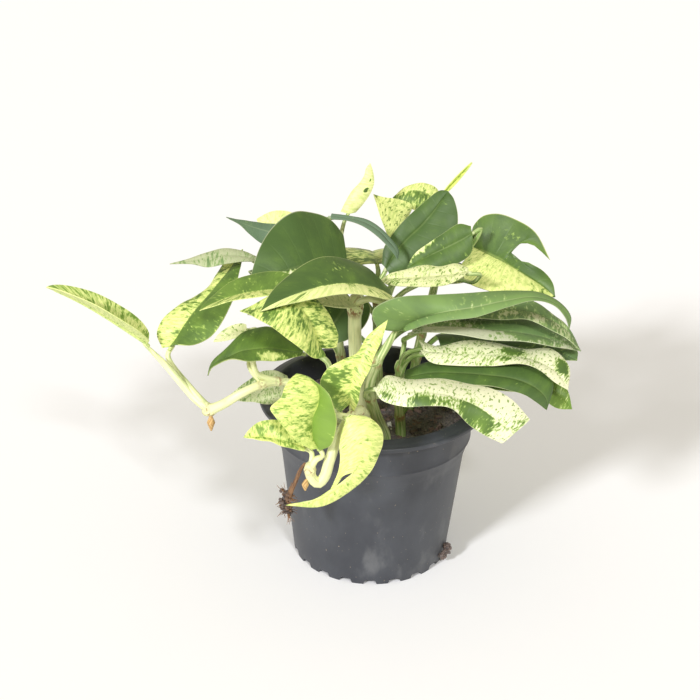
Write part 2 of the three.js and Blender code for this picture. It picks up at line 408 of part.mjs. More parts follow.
// The midrib is a cubic curve from base to tip. It leaves the chord by the angle rise and comes back to it
// by droop, both towards the upper side, and sweep bends it sideways. A blade of its own has its own curve.
function midribOf(leaf) {
  if (leaf.halves) {
    const { curve, halves } = leaf;
    const upper = (t) => {
      const [left, right] = [-1, 1].map((side) =>
        marginPoint(halves.get(side), THREE.MathUtils.clamp(t, 0.1, 0.9), 1));
      return right.sub(left).cross(curve.getTangent(t));
    };
    return { curve, upper, length: curve.getLength() };
  }
  const chord = leaf.tip.clone().sub(leaf.base);
  const length = chord.length();
  const along = chord.divideScalar(length);
  const level = new THREE.Vector3(0, 0, 1);
  level.addScaledVector(along, -level.dot(along)).normalize();
  const across = along.clone().cross(level);
  const turn = leaf.roll * DEG;
  const up = level.multiplyScalar(Math.cos(turn)).addScaledVector(across, Math.sin(turn));
  const side = along.clone().cross(up);
  const [rise, droop, sweep] = [leaf.rise * DEG, leaf.droop * DEG, leaf.sweep * DEG];
  const heading = (lift, swing) => along.clone().multiplyScalar(Math.cos(lift) * Math.cos(swing))
    .addScaledVector(up, Math.sin(lift)).addScaledVector(side, Math.cos(lift) * Math.sin(swing)).normalize();
  const leave = heading(rise, sweep), arrive = heading(-droop, -sweep);
  const curve = new THREE.CubicBezierCurve3(leaf.base,
    leaf.base.clone().addScaledVector(leave, leaf.reach * length),
    leaf.tip.clone().addScaledVector(arrive, -leaf.reach * length), leaf.tip);
  return { curve, upper: () => up.clone(), length };
}

// Point, direction, upper normal and side of the midrib at a share of its length, which may lie past its ends
function ribFrame(rib, share) {
  const t = THREE.MathUtils.clamp(share, 0, 1);
  const along = rib.curve.getTangent(t);
  const at = rib.curve.getPoint(t).addScaledVector(along, (share - t) * rib.length);
  const upper = rib.upper(t);
  const normal = upper.addScaledVector(along, -upper.dot(along)).normalize();
  return { at, along, normal, side: along.clone().cross(normal) };
}

// The margin of one half: m runs from the notch at the stalk to the tip
function margin(leaf, m) {
  const angle = Math.PI * (0.1 + 0.9 * m);
  const along = -leaf.lobe + (1 + leaf.lobe) * (1 - Math.cos(angle)) / 2;
  const taper = Math.pow(Math.max(Math.sin(angle), 0), 0.75 + leaf.point * m * m);
  return [along, taper * (1 + leaf.belly * Math.cos(angle))];
}

function widestShare(leaf) {
  let widest = 0;
  for (let i = 0; i <= 200; i++) widest = Math.max(widest, margin(leaf, i / 200)[1]);
  return widest;
}

// A point of a heart-shaped blade: m along the margin, v from the midrib to the margin
function heartPoint(leaf) {
  const rib = midribOf(leaf);
  const widest = widestShare(leaf);
  return (side, m, v) => {
    const [end, reach] = margin(leaf, m);
    const mid = Math.pow(m, 1.1);
    const share = mid + (end - mid) * Math.pow(v, 1.4);
    const across = reach / widest * leaf.width / 2 * (side < 0 ? leaf.left : leaf.right) * v;
    const { at, normal, side: out } = ribFrame(rib, share);
    const bend = leaf.curl * DEG * v / 2;
    const chordShare = bend ? Math.sin(bend) / bend : 1;
    const lean = leaf.fold * DEG - bend;
    return at.addScaledVector(out, side * across * chordShare * Math.cos(lean))
      .addScaledVector(normal, across * chordShare * Math.sin(lean));
  };
}

// The margin of a half that may be cut: edge tells which side of the cut is meant, -1 before it, 1 after it
function marginPoint({ margins, cut }, m, edge) {
  if (!cut) return margins[0].getPoint(m);
  const before = m < cut.at || (m === cut.at && edge < 0);
  return before ? margins[0].getPoint(m / cut.at) : margins[1].getPoint((m - cut.at) / (1 - cut.at));
}

// A point of a blade of its own. It lies on the straight way from midrib to margin and arches up from it.
// At a cut it lies on the cut's edge, and the tissue up to the next point of the midrib follows.
function drawnPoint({ curve, halves, arch }) {
  return (side, m, v, edge) => {
    const half = halves.get(side);
    const foot = curve.getPoint(m), end = marginPoint(half, m, edge);
    const at = foot.clone().lerp(end, v);
    const near = half.cut ? 1 - Math.abs(m - half.cut.at) * half.cut.near : 0;
    if (near > 0) {
      const { at: place, start, edges } = half.cut;
      const line = edges[m < place || (m === place && edge < 0) ? 0 : 1];
      const root = curve.getPoint(place);
      const bent = v < start ? root.clone().lerp(line.getPoint(0), v / start)
        : line.getPoint((v - start) / (1 - start));
      at.addScaledVector(bent.sub(root.lerp(line.getPoint(1), v)), near);
    }
    const out = end.sub(foot);
    const lift = arch * out.length() * 4 * v * (1 - v);
    return at.addScaledVector(out.cross(curve.getTangent(m)).normalize(), side * lift);
  };
}

// The blade as one sheet of shared points and triangles
function bladeSheet(leaf) {
  const pointOf = leaf.halves ? drawnPoint(leaf) : heartPoint(leaf);
  const columns = leaf.halves ? Math.round(leaf.steps * (leaf.steps < 8 ? 1.7 : 1))
    : Math.round(THREE.MathUtils.clamp(leaf.base.distanceTo(leaf.tip) / 11, 4, 8));
  const rows = leaf.cuts ? 4 : leaf.width > 32 ? 3 : 2;
  const points = [], triangles = [], known = new Map();
  const cornerAt = (side, m, v, edge) => {
    const point = pointOf(side, m, v, edge);
    const key = point.toArray().map((c) => Math.round(c * 1e3)).join();
    if (!known.has(key)) {
      known.set(key, points.length);
      points.push(point);
    }
    return known.get(key);
  };
  for (const side of [-1, 1]) {
    const grid = [];
    for (let i = 0; i <= columns; i++) {
      const m = i / columns;
      for (const edge of leaf.halves?.get(side).cut?.at === m ? [-1, 1] : [0]) {
        const corners = Array.from({ length: rows + 1 }, (_, j) => cornerAt(side, m, j / rows, edge));
        grid.push({ edge, corners });
      }
    }
    for (let i = 0; i + 1 < grid.length; i++) {
      if (grid[i].edge === -1) continue;
      const [here, next] = [grid[i].corners, grid[i + 1].corners];
      for (let j = 0; j < rows; j++) {
        const [a, b, c, d] = [here[j], next[j], next[j + 1], here[j + 1]];
        for (const [p, q, r] of [[a, b, c], [a, c, d]]) {
          if (p !== q && q !== r && p !== r) triangles.push(side > 0 ? [p, r, q] : [p, q, r]);
        }
      }
    }
  }
  return { points, triangles };
}

// The sheet given its thickness: both faces share one pattern of triangles, walls close the margin
function thicken({ points, triangles }, thickness) {
  const normals = points.map(() => new THREE.Vector3());
  const sides = new Map();
  for (const [a, b, c] of triangles) {
    const normal = points[b].clone().sub(points[a]).cross(points[c].clone().sub(points[a]));
    for (const k of [a, b, c]) normals[k].add(normal);
    for (const [p, q] of [[a, b], [b, c], [c, a]]) sides.set(`${p} ${q}`, [p, q]);
  }
  normals.forEach((normal) => normal.normalize());
  const n = points.length;
  const position = new Float32Array(n * 6);
  points.forEach((point, i) => {
    point.clone().addScaledVector(normals[i], thickness / 2).toArray(position, i * 3);
    point.clone().addScaledVector(normals[i], -thickness / 2).toArray(position, (n + i) * 3);
  });
  const index = [];
  for (const [a, b, c] of triangles) index.push(a, b, c, n + a, n + c, n + b);
  for (const [a, b] of sides.values()) {
    if (!sides.has(`${b} ${a}`)) index.push(a, n + a, n + b, a, n + b, b);
  }
  const geometry = new THREE.BufferGeometry();
  geometry.setAttribute('position', new THREE.BufferAttribute(position, 3));
  geometry.setIndex(index);
  return geometry;
}

// ---- stems ----

// A stalk bends in from behind and ends just under its blade's midrib, at the base or at a share of the
// midrib's length.
function stalkPoints([name, radius, points, share = 0]) {
  const leaf = LEAF_BY_NAME.get(name);
  const { at, along, normal } = ribFrame(midribOf(leaf), share);
  const tip = 0.9 + leaf.width / 70;
  const under = THICKNESS / 2 + GAP + tip;
  const behind = at.clone().addScaledVector(along, -6).addScaledVector(normal, -under - 1.5);
  const end = at.clone().addScaledVector(along, 1.5).addScaledVector(normal, -under - 0.1);
  const n = points.length;
  return [...points.map((p, i) => [...p, THREE.MathUtils.lerp(radius, tip + 0.2, i / (n + 1))]),
    [...behind.toArray(), tip + 0.15], [...end.toArray(), tip]];
}

function vine({ stem, stalks }) {
  let body = tube(stem, 7, 10);
  for (const stalk of stalks) body = body.add(tube(stalkPoints(stalk), 5, 9));
  return body;
}

// ---- pot and soil ----

function turned(profile, sides) {
  const geometry = new THREE.LatheGeometry(profile.map(([r, z]) => new THREE.Vector2(r, z)), sides);
  geometry.rotateX(Math.PI / 2);
  return solid(geometry);
}

const wallRadius = (z) => z < SHOULDER
  ? THREE.MathUtils.lerp(FOOT_RADIUS, SHOULDER_RADIUS, z / SHOULDER)
  : z < BAND_BOTTOM
    ? THREE.MathUtils.lerp(SHOULDER_RADIUS, BAND_BOTTOM_RADIUS, (z - SHOULDER) / (BAND_BOTTOM - SHOULDER))
    : THREE.MathUtils.lerp(BAND_BOTTOM_RADIUS, BAND_RADIUS, (z - BAND_BOTTOM) / (LIP_BOTTOM - BAND_BOTTOM));

function pot() {
  const inside = (z) => [wallRadius(z) - WALL, z];
  let body = turned([
    [0, 0], [PAD_RADIUS, 0], [PAD_RADIUS, FLOOR_UNDER], [FOOT_RADIUS - 2.6, FLOOR_UNDER],
    [FOOT_RADIUS - 2, 0], [FOOT_RADIUS, 0], [SHOULDER_RADIUS, SHOULDER],
    [BAND_BOTTOM_RADIUS, BAND_BOTTOM], [BAND_RADIUS, LIP_BOTTOM],
    [BAND_RADIUS + 0.4, 114.6], [RIM_RADIUS - 1.2, 112.4], [RIM_RADIUS - 1.2, LIP_BOTTOM],
    [RIM_RADIUS, LIP_BOTTOM], [RIM_RADIUS, RIM_EDGE], [CREST_RADIUS, RIM_CREST],
    [CREST_RADIUS - 1.3, RIM_CREST - 0.6],
    inside(LIP_BOTTOM), inside(BAND_BOTTOM), inside(SHOULDER), inside(FLOOR_TOP + 1),
    [wallRadius(FLOOR_TOP) - 2.4, FLOOR_TOP], [0, FLOOR_TOP],
  ], POT_SIDES);
  for (let i = 0; i < NOTCHES; i++) {
    const notch = new THREE.BoxGeometry(NOTCH_WIDTH, 8, NOTCH_HEIGHT + 1);
    notch.translate(0, -FOOT_RADIUS + 1, (NOTCH_HEIGHT - 1) / 2);
    notch.rotateZ((1 + i * 360 / NOTCHES) * DEG);
    body = body.subtract(solid(notch));
  }
  for (let i = 0; i < DRAIN_HOLES; i++) {
    const hole = new THREE.CylinderGeometry(DRAIN_RADIUS, DRAIN_RADIUS, 10, 10);
    hole.rotateX(Math.PI / 2);
    hole.translate(DRAIN_RING, 0, FLOOR_TOP - 3);
    hole.rotateZ(i * 360 / DRAIN_HOLES * DEG);
    body = body.subtract(solid(hole));
  }
  return body;
}

function soil() {
  const inside = (z) => [wallRadius(z) - WALL - GAP, z];
  let body = turned([
    [0, FLOOR_TOP + GAP], [wallRadius(FLOOR_TOP) - 3, FLOOR_TOP + GAP], inside(FLOOR_TOP + 2),
    inside(SHOULDER), inside(BAND_BOTTOM + 0.3), inside(SOIL_TOP), [42, SOIL_TOP + 0.8],
    [20, SOIL_CROWN], [0, SOIL_CROWN],
  ], POT_SIDES);
  for (const { stem: [foot] } of VINES) {
    const radius = foot[3] + 0.8;
    const hole = new THREE.CylinderGeometry(radius, radius, 30, 10);
    hole.rotateX(Math.PI / 2);
    hole.translate(foot[0], foot[1], STEM_FOOT - GAP + 15);
    body = body.subtract(solid(hole));
  }
  return body;
}

// Crumbs of soil: angular lumps that run into each other
function crumbs(places, turn) {
  return places.map(([x, y, z, r], i) => {
    const lump = new THREE.IcosahedronGeometry(r, 0);
    lump.rotateX(turn + i);
    lump.rotateZ(turn * 2 + i * 1.7);
    lump.translate(x, y, z);
    return solid(lump);
  }).reduce((body, lump) => body.add(lump));
}

// ---- the plant ----

const LOOKS = {
  pot: [0x4d5156, 0.55], soil: [0x4a3326, 0.95], root: [0x7a4c2c, 0.9], stem: [0xb9c47a, 0.55],
  dark: [0x55783f, 0.42], marbled: [0xcfdd7c, 0.45], speckled: [0xdedfc0, 0.45], pale: [0x96a880, 0.6],
};
const MARBLED = ['rolled_new_leaf', 'left_folded_leaf', 'left_band_leaf', 'high_left_cream_leaf',
  'marbled_left_leaf', 'top_curled_leaf', 'new_spike_leaf', 'split_right_leaf', 'small_marbled_leaf',
  'front_marbled_leaf', 'front_green_leaf', 'hanging_leaf', 'back_middle_leaf', 'side_left_leaf'];
const SPECKLED = ['small_cream_leaf', 'left_grey_leaf', 'upright_cream_leaf', 'under_arch_cream_leaf',
  'top_speckled_leaf', 'narrow_speckled_leaf', 'grey_right_leaf', 'cream_right_leaf', 'low_speckled_leaf',
  'back_low_left_leaf', 'back_low_right_leaf'];
const PALE = ['far_left_striped_leaf', 'high_left_blue_leaf', 'narrow_blue_leaf', 'long_right_leaf'];

const plant = new THREE.Group();

function place(name, geometry, look) {
  const [color, roughness] = LOOKS[look];
  const mesh = new THREE.Mesh(geometry, new THREE.MeshStandardMaterial({ color, roughness, metalness: 0 }));
  mesh.name = name;
  plant.add(mesh);
}

const leafLook = (name) => MARBLED.includes(name) ? 'marbled' : SPECKLED.includes(name) ? 'speckled'
  : PALE.includes(name) ? 'pale' : 'dark';

place('pot', geometryOf(pot()), 'pot');
place('soil', geometryOf(soil()), 'soil');
for (const row of VINES) place(row.name, geometryOf(vine(row)), 'stem');
for (const leaf of LEAF_BY_NAME.values()) {
  place(leaf.name, thicken(bladeSheet(leaf), THICKNESS), leafLook(leaf.name));
}
place('hanging_root', geometryOf(tube(HANGING_ROOT, 6, 6).add(crumbs(ROOT_CRUMBS, 0.4))), 'root');
for (const [name, points] of Object.entries(ROOT_STUBS)) {
  place(name, geometryOf(tube(points, 6, 3)), 'root');
}
place('pot_crumbs', geometryOf(crumbs(POT_CRUMBS, 1.1)), 'soil');

export default plant;
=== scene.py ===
import math

import bpy
import numpy as np
from mathutils import Matrix, Vector


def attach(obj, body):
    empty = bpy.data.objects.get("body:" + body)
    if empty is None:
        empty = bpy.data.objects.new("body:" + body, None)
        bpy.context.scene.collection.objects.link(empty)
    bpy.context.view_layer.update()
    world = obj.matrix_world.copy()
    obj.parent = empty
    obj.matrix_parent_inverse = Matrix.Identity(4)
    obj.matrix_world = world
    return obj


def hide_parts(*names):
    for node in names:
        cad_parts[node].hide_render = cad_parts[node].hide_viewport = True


bl_info = {
    "name": "Potted trailing plant",
    "version": (1, 0, 0),
    "blender": (4, 5, 0),
    "location": "View3D > Sidebar > Plant",
    "description": "A variegated trailing houseplant in a round nursery pot",
    "category": "Add Mesh",
}

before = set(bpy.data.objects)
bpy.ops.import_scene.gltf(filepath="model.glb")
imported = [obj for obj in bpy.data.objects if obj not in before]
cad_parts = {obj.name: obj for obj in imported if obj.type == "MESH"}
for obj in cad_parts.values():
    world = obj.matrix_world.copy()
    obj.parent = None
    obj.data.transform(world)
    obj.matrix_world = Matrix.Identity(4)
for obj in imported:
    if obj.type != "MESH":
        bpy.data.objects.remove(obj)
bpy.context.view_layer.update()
MM = 0.001  # lengths below are millimetres, Blender's are metres

# ---- camera: where the picture was taken from, worked out from the ellipses of the pot's rim and foot ----
IMAGE_SIDE = 700
LENS_PIXELS = 1400.0
AIM_HEIGHT, AIM_PIXEL = 57.0, (371.7, 468.8)
CAMERA_DISTANCE, CAMERA_ELEVATION, CAMERA_ROLL = 945.0, 30.4, -1.65

SENSOR_WIDTH, FAR_PLANE = 36.0, 50.0  # in mm and in m

# ---- floor and lights: the way each sun's beam goes, the width of its disc in degrees, and its colour ----
FLOOR_DROP = -0.0002  # in m, so that the pot's foot doesn't lie in the floor's plane
KEY_BEAM, FILL_BEAM = (0.75, 1.0, -0.7), (-0.35, 1.0, -0.85)
LIGHT_ANGLE, LIGHT_COLOUR = 8.0, (0.98, 0.99, 1.04)

# ---- pot ----
POT_SIDES, POT_WALL = 480, 1.0
NOTCHES, NOTCH_WIDTH, NOTCH_HEIGHT, FIRST_NOTCH = 20, 7.5, 2.6, 1.0
SHOULDER, SHOULDER_RADIUS, BAND_BOTTOM, BAND_BOTTOM_RADIUS = 77.0, 60.6, 89.0, 64.2
FOOT_RADIUS, BAND_RADIUS, LIP_BOTTOM = 52.0, 66.0, 111.5
DRAIN_HOLES, DRAIN_RADIUS, DRAIN_RING = 6, 4.0, 33.0

# Stretches of the pot's section as radius and height: the underside, the ring under the band, and the lip.
POT_UNDERSIDE = [(0, 0), (8.6, 0), (9, 0.3), (9, 4), (30, 4), (FOOT_RADIUS - 2.8, 4),
                 (FOOT_RADIUS - 2.5, 3.4), (FOOT_RADIUS - 2, 0)]
POT_RING = [(64.3, 88.6), (64.7, 89.1), (64.7, 89.7), (64.5, 90.2)]
POT_LIP = [(66.1, 110.6), (66.9, 111.4), (68.4, 111.7), (71.5, 112.0), (73.0, 111.9), (73.7, 111.5),
           (74.6, 111.5), (75.0, 111.9), (75.0, 112.8), (74.9, 113.7), (74.5, 114.2), (73.7, 114.4),
           (73.0, 114.5), (72.6, 114.9), (69.4, 115.7), (67.6, 116.2), (66.7, 116.5), (65.9, 116.3),
           (65.4, 115.7)]

# ---- soil ----
SOIL_TOP, SOIL_CROWN, SOIL_FLOOR = 97.0, 99.5, 5.6
SOIL_SIDES, SOIL_RADIUS, SOIL_CLEARANCE, SOIL_CHIPS = 160, 64.0, 1.3, 900

# ---- leaves ----
LARGE_WIDTH = 50.0  # in mm; the heights of the relief below are those of a blade this wide
VEINS = 8  # lateral veins in each half of a blade
GROOVE_DEPTH, GROOVE_WIDTH, VEIN_DEPTH = 0.35, 1.6, 0.06  # in mm
RIPPLE, WAVE = (0.8, 3, 3.1), (0.9, 1, 1.2)  # height, power of the share from the midrib, and turns
SEED_STEP = 7.3  # how far apart two blades' patterns lie
HEART_REACH = 0.36  # length of the midrib curve's handles, as a share of its chord
HEART_BELLY = 0.3  # how much wider the base is than the tip

# One row for each blade: name, point where the stalk meets it, tip, width, roll about its length, then
# the angles at which the midrib leaves the base and reaches the tip, the fold of the two halves and
# their curl, in degrees. The last entry holds what departs from the plain heart shape.
LEAVES = [
    ["rolled_new_leaf", [-140, -40, 165], [-196, -55, 207], 22, -10, 4, 10, 50, 10,
     {"lobe": 0, "point": 0.5}],
    ["left_band_leaf", [-50, -54, 209], [-105, -56, 195], 34, -5, 16, 20, 20, 15, {"left": 0.7}],
    ["high_left_cream_leaf", [-53, 30, 213], [-79, 38, 219], 24, -40, 8, 6, 10, 10, {"lobe": 0.05}],
    ["small_cream_leaf", [-78, -45, 179], [-98, -50, 172], 11, -20, 8, 10, 15, 10, {"lobe": 0.04}],
    ["big_round_leaf", [-19, 0, 206], [-77, -35, 206], 76, -45, 20, 22, 8, 20, {"left": 0.4}],
    ["arched_dark_leaf", [9, -45, 203], [-66, -86, 209], 54, -15, 38, 34, 12, 25, {"left": 0.4}],
    ["under_arch_cream_leaf", [-15, -34, 193], [-43, -46, 198], 18, -10, 8, 10, 12, 10, {"lobe": 0.05}],
    ["inner_dark_leaf", [-16, 8, 178], [-34, -6, 151], 40, -20, 10, 10, 12, 15, {}],
    ["new_spike_leaf", [42, 58, 233], [60, 66, 252], 8, 60, 4, 4, 70, 5, {"lobe": 0, "point": 0.3}],
    ["back_left_leaf", [-34, 52, 178], [-88, 90, 158], 56, 0, 18, 26, 12, 15, {}],
    ["back_low_left_leaf", [-34, 60, 146], [-70, 112, 118], 50, 0, 16, 26, 12, 15, {}],
    ["back_middle_leaf", [0, 58, 182], [-6, 126, 156], 60, 0, 20, 28, 12, 15, {}],
    ["back_right_leaf", [34, 54, 176], [84, 104, 150], 58, 0, 18, 26, 12, 15, {}],
    ["back_low_right_leaf", [30, 62, 142], [58, 122, 112], 48, 0, 16, 26, 12, 15, {}],
    ["side_right_leaf", [52, 26, 150], [116, 48, 128], 52, 0, 16, 26, 12, 15, {}],
    ["side_left_leaf", [-48, 24, 162], [-84, 56, 142], 46, 0, 16, 26, 12, 15, {}],
]
# How far the lobes reach back past the stalk, how slim the tip is, and the left half's width against the
# right one's.
PLAIN_HEART = {"lobe": 0.12, "point": 1.3, "left": 1.0}

